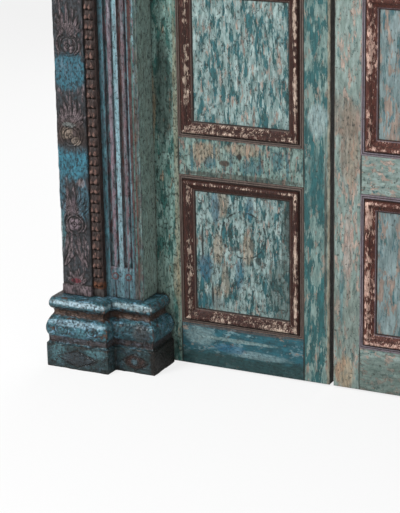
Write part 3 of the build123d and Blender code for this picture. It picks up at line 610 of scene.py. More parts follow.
def panel_moulding(node, material, seed, rubbed):
    """The four mitred strips round one panel, with small dents and a wavering crest.

    rubbed says, for the bottom, right, top and left strips, how much paint has gone from the crest,
    how much from the rest, and how far inside the crest it has gone.
    """
    low, high = (Vector(corner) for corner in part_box(node))
    offsets, rises = MOULDING_PROFILE[:, 0] / 1000, MOULDING_PROFILE[:, 1] / 1000
    crest_y = low.y + max(rises)
    width, height = high.x - low.x, high.z - low.z
    sides = [
        ((low.x, low.z), (1, 0), (0, 1), width),
        ((high.x, low.z), (0, 1), (-1, 0), height),
        ((high.x, high.z), (-1, 0), (0, -1), width),
        ((low.x, high.z), (0, -1), (1, 0), height),
    ]
    vertices, faces, wear = [], [], []
    for (start, along, inward, length), (gone, spread, shift) in zip(sides, rubbed):
        base = len(vertices)
        worn_across = np.interp(offsets - shift, offsets[1:], MOULDING_PROFILE[1:, 2]) * gone
        worn_across += spread * (offsets > CREST_INNER) * (offsets < CREST_OUTER)
        for share in np.linspace(0, 1, STRIP_STEPS + 1):
            for offset, rise in zip(offsets, rises):
                reach = offset + share * (length - 2 * offset)
                x = start[0] + along[0] * reach + inward[0] * offset
                z = start[1] + along[1] * reach + inward[1] * offset
                vertices.append((x, crest_y - rise, z))
            wear.extend(worn_across)
        faces.extend(grid_faces(STRIP_STEPS + 1, len(offsets), base).tolist())
    copies = len(vertices) // len(offsets)
    hollow = np.tile(MOULDING_PROFILE[:, 3], copies)
    fillet = np.tile(FILLET_SHOWN * MOULDING_PROFILE[:, 4], copies)
    points, wear = np.array(vertices), np.array(wear)
    sway, dents = lattice(points, SWAY_SIZE, seed), lattice(points, DENT_SIZE, seed + 5)
    lost = SWAY_DEPTH * sway + DENT_DEPTH * np.maximum(dents, 0) ** 2 + RUBBED_DEPTH
    points[:, 1] += LAID_BACK + wear * lost
    wear = np.clip(wear * (0.85 + 0.5 * sway + 0.6 * dents), 0, 1)
    made = make_object(node + "_worn", points, faces, material, wear, hollow, fillet)
    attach(made, node.split("_")[0] + "_leaf")
    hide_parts(node)


MOULDING_COATS = [
    ("#cbb8a6", "#8f776b", 0.85, 0.004),
    ("#6d4a43", "#472f2a", 0.7, 0.005),
    ("#43221a", "#28130e", 0.97, 0.0045),
]
RIGHT_MOULDING_COATS = [
    ("#d9b8a8", "#a37f73", 0.88, 0.004),
    ("#855a50", "#5a3730", 0.6, 0.005),
    ("#5f3329", "#3b1e18", 0.95, 0.0045),
]
LEFT_RUBBED = ((0.16, 0.36, 0.0), (0.46, 0.12, 0.0), (0.30, 0.09, 0.0), (0.36, 0.12, 0.010))
RIGHT_RUBBED = ((0.3, 0.26, 0.0), (0.5, 0.12, 0.0), (0.4, 0.1, 0.0), (0.26, 0.27, 0.004))
LEFT_FILLET_GREY, RIGHT_FILLET_GREY = "#62564f", "#7d7780"
# Thick brown paint, a little shiny. Where it is rubbed off, pale primer shows in small crumbs.
chocolate_paint = old_paint(
    "worn_chocolate_paint_on_left_mouldings", MOULDING_COATS, ("#4a3028", "#241510"), seed=17.0, edge=0,
    specks=0.2, speck="#1f1210", attributes=True, tint=LEFT_FILLET_GREY,
)
# The same kind of paint on the right leaf, redder and thinner, so more primer shows.
red_brown_paint = old_paint(
    "worn_red_brown_paint_on_right_mouldings", RIGHT_MOULDING_COATS, ("#5a3a2e", "#2c1a14"), seed=21.0,
    edge=0, specks=0.2, speck="#2c1613", attributes=True, tint=RIGHT_FILLET_GREY,
)
for number, row in enumerate(("lower", "middle", "upper")):
    panel_moulding(f"left_leaf_{row}_moulding", chocolate_paint, 2 + number, LEFT_RUBBED)
    panel_moulding(f"right_leaf_{row}_moulding", red_brown_paint, 7 + number, RIGHT_RUBBED)


# Jamb posts: teak with two sunk reeded flutes and a pair of round buttons under them. Each strip
# between the flutes holds another old colour, from light blue to mauve and maroon.
POST_COATS = [
    ("#745c64", "#463436", 0.78, 0.010),
    ("#7a999f", "#4d717a", 0.52, 0.011),
    ("#305c64", "#284344", 0.40, 0.012),
]
# Several old colours over one another, drawn down the timber by brush and rain, and rubbed to brown.
# The zones run from the casing to the nose, and end with the marks under the flutes.
post_paint = old_paint(
    "layered_blue_paint_on_posts", POST_COATS, ("#4d2e27", "#231512"), seed=25.0, edge=0.002, specks=0.32,
    speck="#211d1c", mirrored=True, streaks=0.35, dirt_and_shade=0.4,
    zones=[
        ((-0.690, -0.02, 1.0), (0.009, 0.04, 5.0), "#3d6873", 0.75),
        ((-0.679, -0.02, 1.0), (0.004, 0.04, 5.0), "#33282a", 0.35),
        ((-0.6650, -0.02, 1.3), (0.008, 0.04, 1.2), "#85737d", 0.75),
        ((-0.6423, -0.02, 1.2), (0.007, 0.04, 3.0), "#8fb3bd", 0.65),
        ((-0.6310, -0.01, 1.3), (0.006, 0.03, 1.2), "#5a3128", 0.65),
        ((-0.6520, -0.01, 1.1), (0.004, 0.03, 0.9), "#5f7f88", 0.6),
        ((-0.6280, -0.01, 0.45), (0.004, 0.03, 0.12), "#4f7680", 0.7),
        ((-0.6200, -0.02, 1.3), (0.006, 0.04, 1.2), "#77646a", 0.7),
        ((-0.6100, -0.01, 1.3), (0.004, 0.03, 1.2), "#57505a", 0.6),
        ((-0.6035, -0.02, 1.2), (0.004, 0.04, 2.0), "#5f828c", 0.65),
        ((-0.5955, -0.02, 0.9), (0.006, 0.04, 0.62), "#4a241d", 0.85),
        ((-0.5885, -0.02, 0.6), (0.004, 0.04, 0.5), "#3f6158", 0.7),
        ((-0.5835, -0.02, 0.5), (0.004, 0.04, 0.4), "#5a2e22", 0.75),
        ((-0.5775, -0.02, 1.2), (0.005, 0.04, 3.0), "#3d4a40", 0.7),
        ((-0.5715, 0.045, 1.0), (0.006, 0.062, 5.0), "#82978d", 0.85),
        ((-0.607, -0.02, 0.50), (0.003, 0.04, 0.18), "#6a4a52", 0.7),
        ((-0.600, -0.02, 0.42), (0.004, 0.04, 0.10), "#2f5a5f", 0.7),
        ((-0.635, -0.02, 0.262), (0.05, 0.03, 0.05), "#4c717b", 0.7),
        ((-0.665, -0.02, 0.245), (0.0025, 0.03, 0.04), "#2a201e", 0.8),
        ((-0.620, -0.02, 0.245), (0.0025, 0.03, 0.04), "#2a201e", 0.8),
        ((-0.592, -0.02, 0.26), (0.008, 0.03, 0.05), "#4a3a30", 0.7),
    ],
)
for side in ("left", "right"):
    dress(f"{side}_jamb_post", post_paint)


# Rows of (radius, how proud) in millimetres, from the button's middle to its rim.
BUTTON_OUTLINE = [
    (0.0, 2.6), (1.6, 2.9), (3.4, 4.0), (5.6, 3.9), (6.6, 2.4),
    (7.6, 2.2), (8.6, 3.7), (10.6, 3.6), (11.6, 0.0),
]
# What stands prouder than RUBBED_OVER is rubbed bare, and what lies lower than the second number is darkened
# with dirt and painted shade.
RUBBED_OVER, DARKENED_UNDER = 3.5, 2.5
BUTTON_TURNS, BUTTON_PLACES, FLUTED_FACE_IN = 28, ((-0.665, 0.286), (-0.620, 0.286)), 0.004


def button(name, x, z, face_y, material):
    """A turned button with a raised rim and a dished boss, as rings round its middle."""
    turns = BUTTON_TURNS
    points = [(x, face_y - BUTTON_OUTLINE[0][1] / 1000, z)]
    wear, hollow = [0.0], [0.8]
    for radius, proud in BUTTON_OUTLINE[1:]:
        for i in range(turns):
            angle = 2 * math.pi * i / turns
            across, up = radius * math.cos(angle) / 1000, radius * math.sin(angle) / 1000
            points.append((x + across, face_y - proud / 1000, z + up))
            wear.append(float(proud > RUBBED_OVER))
            hollow.append(float(proud < DARKENED_UNDER) * 0.9)
    faces = [(0, 1 + (i + 1) % turns, 1 + i) for i in range(turns)]
    for ring in range(len(BUTTON_OUTLINE) - 2):
        for i in range(turns):
            a, b = 1 + ring * turns + i, 1 + ring * turns + (i + 1) % turns
            faces.append((a, b, b + turns, a + turns))
    made = make_object(name, points, faces, material, wear, hollow)
    made.data.flip_normals()
    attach(made, "frame")


# Thin maroon paint, dull, with brown wood on the rims, and dirt and painted shade in the dish and its groove.
button_paint = old_paint(
    "worn_maroon_paint_on_buttons", [("#7c5f62", "#4d3a3c", 0.8, 0.008), ("#4f7680", "#3b565d", 0.4, 0.01)],
    ("#5a3f38", "#2c1d19"), seed=27.0, edge=0, specks=0.25, attributes=True,
)
for side, sign in (("left", 1), ("right", -1)):
    post_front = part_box(f"{side}_jamb_post")[0][1] + FLUTED_FACE_IN
    for number, (x, z) in enumerate(BUTTON_PLACES):
        button(f"{side}_button_{number + 1}", sign * x, z, post_front, button_paint)


# Casing boards: teak carved in low relief with rosettes, palmettes and hanging leaves. The relief is
# a height over the board's ground, worn on its high places, and darkened with dirt and painted shade in its
# cuts.

# All sizes are in metres, and all angles in degrees from straight up.
CARVING_STEP, GROUND_DEPTH, FOOT_HEIGHT = 0.0019, 0.0075, 0.031
ROSETTE_RISE, ROSETTE_PITCH, ROSETTE_COUNT = 0.223, 0.271, 6
PETAL_REACH, PETAL_SWELL, PETAL_GAP = 0.0185, 0.0055, 0.0036
CLEFT_START, CLEFT_FADE = 0.006, 0.003
BOSS_RADIUS, BOSS_GROOVE, HOLE_RADIUS = 0.0078, 0.0018, 0.0032
RING_RADIUS, RING_HALF_WIDTH = 0.0277, 0.0026
SCROLL_CENTRE, SCROLL_RADIUS, SCROLL_ENDS, SCROLL_WIDTH = (0.002, 0.006), 0.036, (40, 150), 0.006
PALMETTE_ROOT, PALMETTE_LENGTH, PALMETTE_SPREAD, PALMETTE_WIDTH = (0, 0.03), 0.1, 15, 0.015
BUD_ROOT, BUD_LENGTH, BUD_WIDTH, BUD_ANGLES = (0, 0.03), 0.05, 0.016, (-58, -30, 0, 30, 58)
LEAF_CUT_PITCH = 0.0075
# The carver's hand: how far outlines stray, how deep the gouge marks and the dip of high places are, and
# the lengths of these and of the board's slow waves. The board's long edges are rounded off unevenly.
STRAY, GOUGE_DEPTH, TOP_DIP = 0.0016, 0.0006, 0.0008
STRAY_SIZE, UNEVEN_SIZE, GOUGE_SIZE, WAVE_SIZE, EDGE_WEAR_SIZE = 0.018, 0.012, 0.006, 0.05, 0.02
EDGE_START, EDGE_WIDTH, EDGE_DROP = 0.0462, 0.0038, 0.004


def leaf_relief(across, up, root, angle, length, width, veins=0.0, bend=0.0):
    """The height from 0 to 1 of a pointed leaf with a midrib, bent to one side."""
    turned = math.radians(angle)
    du, dv = across - root[0], up - root[1]
    along = du * math.sin(turned) + dv * math.cos(turned)
    aside = du * math.cos(turned) - dv * math.sin(turned)
    part = np.clip(along / length, 0, 1)
    aside = aside - bend * length * part * (1 - part)
    half = 0.5 * width * np.sin(math.pi * part**0.75) ** 0.8 + 1e-6
    body = np.clip(1 - (aside / half) ** 2, 0, 1) ** 0.5
    body *= (along > 0) * (along < length)
    rib = np.exp(-((aside / (0.09 * width)) ** 2))
    cuts = 0.5 + 0.5 * np.cos((along + 0.9 * np.abs(aside)) * 2 * math.pi / LEAF_CUT_PITCH)
    return body * (1 - 0.45 * rib - veins * cuts * (1 - rib))


def scroll_relief(across, up):
    """The height from 0 to 1 of a round bar bent along an arc beside a rosette."""
    du, dv = across - SCROLL_CENTRE[0], up - SCROLL_CENTRE[1]
    turned = np.degrees(np.arctan2(du, dv)) % 360
    inside = (turned > SCROLL_ENDS[0]) & (turned < SCROLL_ENDS[1])
    off = np.hypot(du, dv) - SCROLL_RADIUS
    return np.clip(1 - (off / (0.5 * SCROLL_WIDTH)) ** 2, 0, 1) ** 0.5 * inside


def rosette_relief(across, up):
    """The height from 0 to 1 of a four-petalled flower round a pierced boss, in a broken ring."""
    reach = np.hypot(across, up)
    turned = np.arctan2(across, up)
    petals = np.abs(np.sin(2 * turned)) ** 0.5
    rim = PETAL_REACH + PETAL_SWELL * petals
    cupped = 0.55 + 0.45 * np.sin(math.pi * np.clip(reach / rim, 0, 1))
    flower = np.clip(1 - (reach / rim) ** 5, 0, 1) * cupped
    cleft = np.exp(-((reach * np.sin(2 * turned) / PETAL_GAP) ** 2))
    cleft *= np.clip((reach - CLEFT_START) / CLEFT_FADE, 0, 1)
    flower *= 1 - 0.85 * cleft
    groove = np.exp(-(((reach - BOSS_RADIUS) / BOSS_GROOVE) ** 2))
    hole = np.exp(-((reach / HOLE_RADIUS) ** 2))
    flower = flower * (1 - 0.7 * groove) * (1 - 0.95 * hole)
    ring = np.clip(1 - ((reach - RING_RADIUS) / RING_HALF_WIDTH) ** 2, 0, 1) ** 0.5 * (0.45 + 0.3 * petals)
    return np.maximum(flower, ring)


def carving_relief(across, up):
    """The carving's height from 0 to 1. up is measured from the top of the base block.

    A plain foot with a spray of buds comes first. Each rosette has a scroll and a leaf on both sides,
    and a palmette above it, and the lowest one has two pairs of hanging leaves.
    """
    height = (up < FOOT_HEIGHT).astype(float)
    for index in range(ROSETTE_COUNT):
        v = up - ROSETTE_RISE - index * ROSETTE_PITCH
        forms = [rosette_relief(across, v)]
        for side in (-1, 1):
            u = side * across
            forms.append(0.8 * scroll_relief(u, v))
            beside = leaf_relief(u, v, root=(0.018, 0.026), angle=50, length=0.04, width=0.014, bend=-0.5)
            forms.append(0.85 * beside)
        if index < ROSETTE_COUNT - 1:
            for step in range(-3, 4):
                length, angle = PALMETTE_LENGTH * (1 - 0.13 * abs(step)), PALMETTE_SPREAD * step
                leaf = leaf_relief(
                    across, v, PALMETTE_ROOT, angle, length, PALMETTE_WIDTH, veins=0.25, bend=0.12 * step
                )
                forms.append(leaf)
        if index == 0:
            for side in (-1, 1):
                u = side * across
                inner = leaf_relief(
                    u, v, root=(0.008, -0.026), angle=162, length=0.118, width=0.026, veins=0.2, bend=0.45
                )
                outer = leaf_relief(u, v, root=(0.026, -0.034), angle=168, length=0.09, width=0.02, veins=0.3)
                forms.extend([inner, 0.7 * outer])
        for form in forms:
            height = np.maximum(height, form)
    for angle in BUD_ANGLES:
        bud = leaf_relief(across, up, BUD_ROOT, angle, BUD_LENGTH, BUD_WIDTH, veins=0.2)
        height = np.maximum(height, 0.85 * bud)
    return height


def relief_board(name, box, front_of, material):
    """A board whose front is a grid of heights and whose sides and back are plain.

    front_of(across, up) gives how far each point stands back from the board's front, and its wear
    and hollow.
    """
    low, high = box
    columns = round((high[0] - low[0]) / CARVING_STEP) + 1
    rows = round((high[2] - low[2]) / CARVING_STEP) + 1
    x, z = np.meshgrid(np.linspace(low[0], high[0], columns), np.linspace(low[2], high[2], rows))
    across, up = x.ravel() - (low[0] + high[0]) / 2, z.ravel() - low[2]
    back, wear, hollow = front_of(across, up)
    front = np.stack([x.ravel(), low[1] + back, z.ravel()], axis=1)
    faces = grid_faces(rows, columns).tolist()
    index = np.arange(rows * columns).reshape(rows, columns)
    rim = np.concatenate([index[0, :-1], index[:-1, -1], index[-1, :0:-1], index[:0:-1, 0]])
    behind = front[rim].copy()
    behind[:, 1] = high[1]
    start = len(front)
    count = len(rim)
    for i in range(count):
        j = (i + 1) % count
        faces.append([int(rim[j]), int(rim[i]), start + i, start + j])
    corners = [start, start + columns - 1, start + columns + rows - 2, start + 2 * columns + rows - 3]
    faces.append([corners[0], corners[3], corners[2], corners[1]])
    points = np.concatenate([front, behind])
    wear, hollow = (np.concatenate([values, np.zeros(count)]) for values in (wear, hollow))
    return make_object(name, points, faces, material, wear, hollow)


def cut_of(height, across):
    """Dirt and painted shade where the ground meets a raised form, from the height over the grid."""
    columns = int(np.argmax(across[1:] < across[:-1])) + 1
    grid = height.reshape(-1, columns)
    around = grid.copy()
    for _ in range(3):
        padded = np.pad(around, 1, mode="edge")
        beside = padded[:-2, 1:-1] + padded[2:, 1:-1] + padded[1:-1, :-2] + padded[1:-1, 2:]
        around = (beside + padded[1:-1, 1:-1]) / 5
    return np.clip((around - grid) * 7 - 0.05, 0, 1).ravel()


def casing_front(across, up):
    """How far the casing's front stands back at each point, with its wear and hollow."""
    points = np.stack([across, 0 * across, up], axis=1)
    sway, rise = STRAY * lattice(points, STRAY_SIZE, 21), STRAY * lattice(points, STRAY_SIZE, 22)
    height = carving_relief(across + sway, up + rise) * (0.9 + 0.12 * lattice(points, UNEVEN_SIZE, 23))
    height = np.clip(height, 0, 1)
    gouges = lattice(points, GOUGE_SIZE, 3)
    waves = lattice(points, WAVE_SIZE, 4)
    ground = GROUND_DEPTH + GOUGE_DEPTH * gouges + GOUGE_DEPTH * waves
    top = TOP_DIP + GOUGE_DEPTH * gouges + GOUGE_DEPTH * np.abs(waves)
    back = ground * (1 - height) + height * top
    edge = np.clip((np.abs(across) - EDGE_START) / EDGE_WIDTH, 0, 1)
    back = back + EDGE_DROP * edge**2 * (0.5 + 0.5 * lattice(points, EDGE_WEAR_SIZE, 8))
    wear = np.clip(height * (0.8 + 0.4 * waves), 0, 1)
    return back, wear, cut_of(height, across)


CASING_COATS = [
    ("#7c6f72", "#3b3235", 0.72, 0.010),
    ("#3b3f43", "#272a2e", 0.68, 0.010),
    ("#355e69", "#264249", 0.28, 0.015),
]
BRIGHT_BLUE, CASING_FACE = "#35778a", -0.05
# Dark blue-grey and brown paint, almost gone from the high places, with bright blue bands between the
# rosettes. It is dull, and its cuts are darkened with dirt and painted shade.
casing_paint = old_paint(
    "worn_blue_and_brown_paint_on_carving", CASING_COATS, ("#84737a", "#463a3a"), seed=31.0, edge=0,
    specks=0.40, speck="#1f1b1b", attributes=True, mirrored=True, relief=1.2,
    zones=flat_zones(CASING_FACE, [
        (-0.785, 0.637, 0.07, 0.056, BRIGHT_BLUE, 0.8),
        (-0.752, 0.520, 0.018, 0.06, "#3f7688", 0.55),
        (-0.822, 0.52, 0.012, 0.08, "#3f7688", 0.5),
        (-0.826, 0.42, 0.010, 0.06, "#457a82", 0.55),
        (-0.785, 0.713, 0.060, 0.050, "#43342e", 0.75),
        (-0.800, 0.722, 0.020, 0.018, "#b5a392", 0.55),
        (-0.768, 0.700, 0.016, 0.012, "#b5a392", 0.5),
        (-0.790, 0.748, 0.022, 0.008, "#8f9a97", 0.5),
        (-0.8315, 0.43, 0.0035, 0.06, "#a9b6b8", 0.7),
        (-0.8315, 0.34, 0.0030, 0.04, "#8fa3a6", 0.6),
        (-0.757, 0.572, 0.012, 0.014, "#9c8480", 0.4),
        (-0.786, 0.442, 0.019, 0.019, "#8d7c85", 0.55),
        (-0.785, 0.500, 0.012, 0.030, "#6f6068", 0.5),
        (-0.785, 0.908, 0.07, 0.05, BRIGHT_BLUE, 0.6),
        (-0.785, 1.179, 0.07, 0.05, BRIGHT_BLUE, 0.6),
        (-0.785, 1.45, 0.07, 0.05, BRIGHT_BLUE, 0.6),
        (-0.785, 1.72, 0.07, 0.05, BRIGHT_BLUE, 0.6),
        (-0.784, 0.264, 0.018, 0.007, "#7a2634", 0.85),
    ]),
)


def mirror_object(made, name):
    """The same mesh on the other side of the door."""
    mesh = made.data.copy()
    mesh.transform(Matrix.Scale(-1, 4, (1, 0, 0)))
    mesh.flip_normals()
    twin = bpy.data.objects.new(name, mesh)
    bpy.context.scene.collection.objects.link(twin)
    return twin


def both_sides(made, node):
    """Puts a left piece and its mirror image in place of the two packed ones."""
    twin = mirror_object(made, "right_" + node + "_worn")
    for side, piece in (("left", made), ("right", twin)):
        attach(piece, "frame")
        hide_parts(f"{side}_{node}")


casing = relief_board("left_carved_casing_worn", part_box("left_carved_casing"), casing_front, casing_paint)
both_sides(casing, "carved_casing")


# Rope mouldings: a strip of small two-lobed husks, cut in teak and covered with worn brown paint.
# One husk is a small grid, and Geometry Nodes set it up the strip with small turns and changes of size.
HUSK_PITCH, FOOT_PLAIN, BED_DEPTH, ROPE_JITTER = 0.029, 0.032, 0.018, 0.02
HUSK_ROWS, HUSK_COLUMNS, HUSK_NARROWER, HUSK_LOWER = 13, 15, 0.001, 0.0005
TURN_SEED, SIZE_SEED, SMALLEST = 5, 8, 0.95


def husk_mesh(width, depth, material):
    """One husk, standing on the strip's bed, with its foot at the origin.

    u goes across it from -1 to 1 and v up it from 0 to 1. It rises steeply at its two lobes and slopes
    down from there to its top.
    """
    u, v = np.meshgrid(np.linspace(-1, 1, HUSK_COLUMNS), np.linspace(0, 1, HUSK_ROWS))
    lobes = 0.10 + 0.13 * np.abs(np.cos(math.pi * u * 0.98)) * (np.abs(u) < 1) + 0.12 * u**4
    climb = np.clip((1 - v) / (1 - lobes), 0, 1)
    drop = np.clip((v - lobes + 0.09) / 0.09, 0, 1)
    dome = (1 - np.abs(u) ** 3) * (0.55 + 0.45 * np.abs(np.sin(math.pi * u)))
    height = depth * (0.25 + 0.75 * climb**0.8) * dome * np.clip(drop, 0.08, 1)
    points = np.stack([u.ravel() * width / 2, -height.ravel(), v.ravel() * HUSK_PITCH], axis=1)
    wear = np.clip(1.3 * height.ravel() / depth - 0.6, 0, 1)
    # The hollow value darkens the paint under the lobes, at the sides and down the middle: dirt and painted
    # shade in the undercuts.
    shut = 1.1 * (1 - drop) + 0.35 * (np.abs(u) > 0.92) + 0.4 * (np.abs(u) < 0.1) * (v < 0.75)
    hollow = np.clip(shut.ravel(), 0, 1)
    return make_object("husk", points, grid_faces(HUSK_ROWS, HUSK_COLUMNS), material, wear, hollow)


def repeat_up(name, pattern, count, start, pitch, jitter):
    """Geometry Nodes that set a shape up a line, turned and scaled a little at random, as one mesh.

    jitter is the largest turn in radians.
    """
    tree = bpy.data.node_groups.new(name, "GeometryNodeTree")
    face = tree.interface
    face.new_socket("Geometry", in_out="INPUT", socket_type="NodeSocketGeometry")
    count_in = face.new_socket("Count", in_out="INPUT", socket_type="NodeSocketInt")
    pitch_in = face.new_socket("Pitch", in_out="INPUT", socket_type="NodeSocketFloat")
    jitter_in = face.new_socket("Jitter", in_out="INPUT", socket_type="NodeSocketFloat")
    face.new_socket("Geometry", in_out="OUTPUT", socket_type="NodeSocketGeometry")
    entry = add(tree, "NodeGroupInput").node.outputs
    step = add(tree, "ShaderNodeCombineXYZ", {"Z": entry["Pitch"]})
    inputs = {"Count": entry["Count"], "Start Location": start, "Offset": step}
    line = add(tree, "GeometryNodeMeshLine", inputs)
    source = add(tree, "GeometryNodeObjectInfo", {"Object": pattern}, "Geometry")
    more = entry["Jitter"]
    less = add(tree, "ShaderNodeMath", {0: more, 1: -1.0}, operation="MULTIPLY")
    low = add(tree, "ShaderNodeCombineXYZ", {0: less, 1: less, 2: less})
    high = add(tree, "ShaderNodeCombineXYZ", {0: more, 1: more, 2: more})
    inputs = {0: low, 1: high, "Seed": TURN_SEED}
    turned = add(tree, "FunctionNodeRandomValue", inputs, data_type="FLOAT_VECTOR")
    inputs = {2: SMALLEST, 3: 1.0, "Seed": SIZE_SEED}
    sized = add(tree, "FunctionNodeRandomValue", inputs, 1, data_type="FLOAT")
    inputs = {"Points": line, "Instance": source, "Rotation": turned, "Scale": sized}
    placed = add(tree, "GeometryNodeInstanceOnPoints", inputs)
    real = add(tree, "GeometryNodeRealizeInstances", {0: placed})
    inputs = {"Geometry": real, "Material": pattern.data.materials[0]}
    painted = add(tree, "GeometryNodeSetMaterial", inputs)
    add(tree, "NodeGroupOutput", {0: painted})
    holder = bpy.data.objects.new(name, bpy.data.meshes.new(name))
    bpy.context.scene.collection.objects.link(holder)
    modifier = holder.modifiers.new(name, "NODES")
    modifier.node_group = tree
    modifier[count_in.identifier] = count
    modifier[pitch_in.identifier] = pitch
    modifier[jitter_in.identifier] = jitter
    bpy.context.view_layer.update()
    mesh = bpy.data.meshes.new_from_object(holder.evaluated_get(bpy.context.evaluated_depsgraph_get()))
    holder.modifiers.clear()
    holder.data = mesh
    return holder


ROPE_FACE = -0.04
ROPE_COATS = [
    ("#76594f", "#46302b", 0.85, 0.007),
    ("#3a2a26", "#241a17", 0.74, 0.008),
]
# Dark brown paint or varnish, worn and dull, with paler wood on the rounds of the husks.
rope_paint = old_paint(
    "worn_brown_paint_on_rope_moulding", ROPE_COATS, ("#5e4843", "#30221f"), seed=37.0, edge=0, specks=0.3,
    speck="#1b1412", attributes=True, mirrored=True,
    zones=flat_zones(ROPE_FACE, [
        (-0.715, 0.256, 0.03, 0.012, "#6e3f22", 0.7),
        (-0.715, 0.228, 0.03, 0.014, "#54504e", 0.6),
    ]),
)


def rope_moulding():
    """The bed with its plain foot, and the husks on it."""
    low, high = (Vector(corner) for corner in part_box("left_rope_moulding"))
    foot, bed_y = low.z + FOOT_PLAIN, high.y - BED_DEPTH
    husk = husk_mesh(high.x - low.x - HUSK_NARROWER, bed_y - low.y - HUSK_LOWER, rope_paint)
    middle = (low.x + high.x) / 2
    count = int((high.z - foot) / HUSK_PITCH)
    start = (middle, bed_y, foot)
    string = repeat_up("left_rope_moulding_worn", husk, count, start, HUSK_PITCH, ROPE_JITTER)
    bpy.data.objects.remove(husk)
    both_sides(string, "rope_moulding")
    for side, sign in (("left", 1), ("right", -1)):
        x0, x1 = sorted((sign * low.x, sign * high.x))
        corners = [(x, y, z) for z in (low.z, high.z) for y in (bed_y, high.y) for x in (x0, x1)]
        sheets = [(0, 1, 5, 4), (1, 3, 7, 5), (3, 2, 6, 7), (2, 0, 4, 6), (4, 5, 7, 6), (1, 0, 2, 3)]
        none = np.zeros(8)
        bed = make_object(f"{side}_rope_bed", corners, sheets, rope_paint, none, none)
        bed.data.polygons.foreach_set("use_smooth", [False] * 6)
        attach(bed, "frame")


rope_moulding()


# Base blocks: one timber each, moulded with tori and a hollow, under glossy light-blue paint that is
# rubbed through on the rounds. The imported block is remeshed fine, softened and dented.

# The marks' middles are measured from the block's outer end and from the floor.
LOZENGE_IN, LOZENGE_UP, LOZENGE_HALF, LOZENGE_HALF_UP = (0.107, 0.2805), 0.036, (0.070, 0.045), 0.027
EYE_RADIUS, EYE_LINE = 0.0115, 0.0016
ROUNDEL_IN, ROUNDEL_UP, ROUNDEL_RADIUS, ROUNDEL_LINE = (0.054, 0.160), 0.126, (0.024, 0.019), 0.0017
BLOCK_VOXEL, CUT_DEPTH, BLOCK_SKIN, WORN_RISE, DARKENED_DROP = 0.002, 0.0018, 0.0008, 0.0012, 0.001
# Two sizes of dent: how deep and how wide.
WIDE_DENT, SMALL_DENT = (0.0007, 0.035), (0.0004, 0.008)


def block_marks(points, normals, outer_x):
    """The depth from 0 to 1 of the lines cut round the lozenges and roundels of a base block."""
    x, z = points[:, 0] - outer_x, points[:, 2]
    front = np.clip(-2 * normals[:, 1] - 0.8, 0, 1)
    depth = np.zeros(len(points))
    for number, (across, half) in enumerate(zip(LOZENGE_IN, LOZENGE_HALF)):
        far = np.abs(x - across) / half + np.abs(z - LOZENGE_UP) / LOZENGE_HALF_UP
        depth = np.maximum(depth, np.exp(-(((far - 1.0) / 0.075) ** 2)))
        if number == 1:
            round_off = np.hypot(x - across, z - LOZENGE_UP)
            eye = np.exp(-(((round_off - EYE_RADIUS) / EYE_LINE) ** 2))
            depth = np.maximum(depth, eye * (far < 0.95))
            depth = np.maximum(depth, 0.8 * np.exp(-(((far - 0.72) / 0.05) ** 2)))
    for across, radius in zip(ROUNDEL_IN, ROUNDEL_RADIUS):
        far = np.hypot(x - across, 1.25 * (z - ROUNDEL_UP))
        for ring in (1.0, 0.55):
            depth = np.maximum(depth, np.exp(-(((far - ring * radius) / ROUNDEL_LINE) ** 2)))
    return depth * front


def worn_block(node, name, material):
    """A fine, softened copy of a packed base block, with wear on what stands proud, and dirt and painted
    shade in its hollows and cuts.
    """
    copy = bpy.data.objects.new(name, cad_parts[node].data.copy())
    bpy.context.scene.collection.objects.link(copy)
    remesh = copy.modifiers.new("remesh", "REMESH")
    remesh.mode, remesh.voxel_size = "VOXEL", BLOCK_VOXEL
    soft = copy.modifiers.new("soft", "SMOOTH")
    soft.factor, soft.iterations = 0.5, 2
    flow = copy.modifiers.new("flow", "SMOOTH")
    flow.factor, flow.iterations = 0.5, 14
    meshes = []
    for shown in (False, True):
        flow.show_viewport = flow.show_render = shown
        bpy.context.view_layer.update()
        finished = copy.evaluated_get(bpy.context.evaluated_depsgraph_get())
        meshes.append(bpy.data.meshes.new_from_object(finished))
    points, smooth = (np.array([v.co for v in mesh.vertices]) for mesh in meshes)
    normals = np.array([v.normal for v in meshes[0].vertices])
    proud = np.einsum("ij,ij->i", points - smooth, normals)
    wear = np.clip(proud / WORN_RISE, 0, 1)
    # What lies lower than the smoothed surface, and later the cut lines, get dirt and painted shade.
    hollow = np.clip(-proud / DARKENED_DROP, 0, 1)
    wide, small = lattice(points, WIDE_DENT[1], 2), lattice(points, SMALL_DENT[1], 3)
    dents = WIDE_DENT[0] * wide + SMALL_DENT[0] * small
    cut = block_marks(points, normals, points[:, 0].min())
    hollow = np.maximum(hollow, 0.95 * cut)
    points = points - normals * (BLOCK_SKIN - np.minimum(dents, BLOCK_SKIN) + CUT_DEPTH * cut)[:, None]
    faces = [tuple(p.vertices) for p in meshes[0].polygons]
    bpy.data.objects.remove(copy)
    return make_object(name, points, faces, material, wear, hollow)


BASE_COATS = [
    ("#634b3f", "#3a2a24", 0.70, 0.010),
    ("#47737e", "#2a4b53", 0.74, 0.018),
    ("#80a9be", "#4c788c", 0.43, 0.014),
]
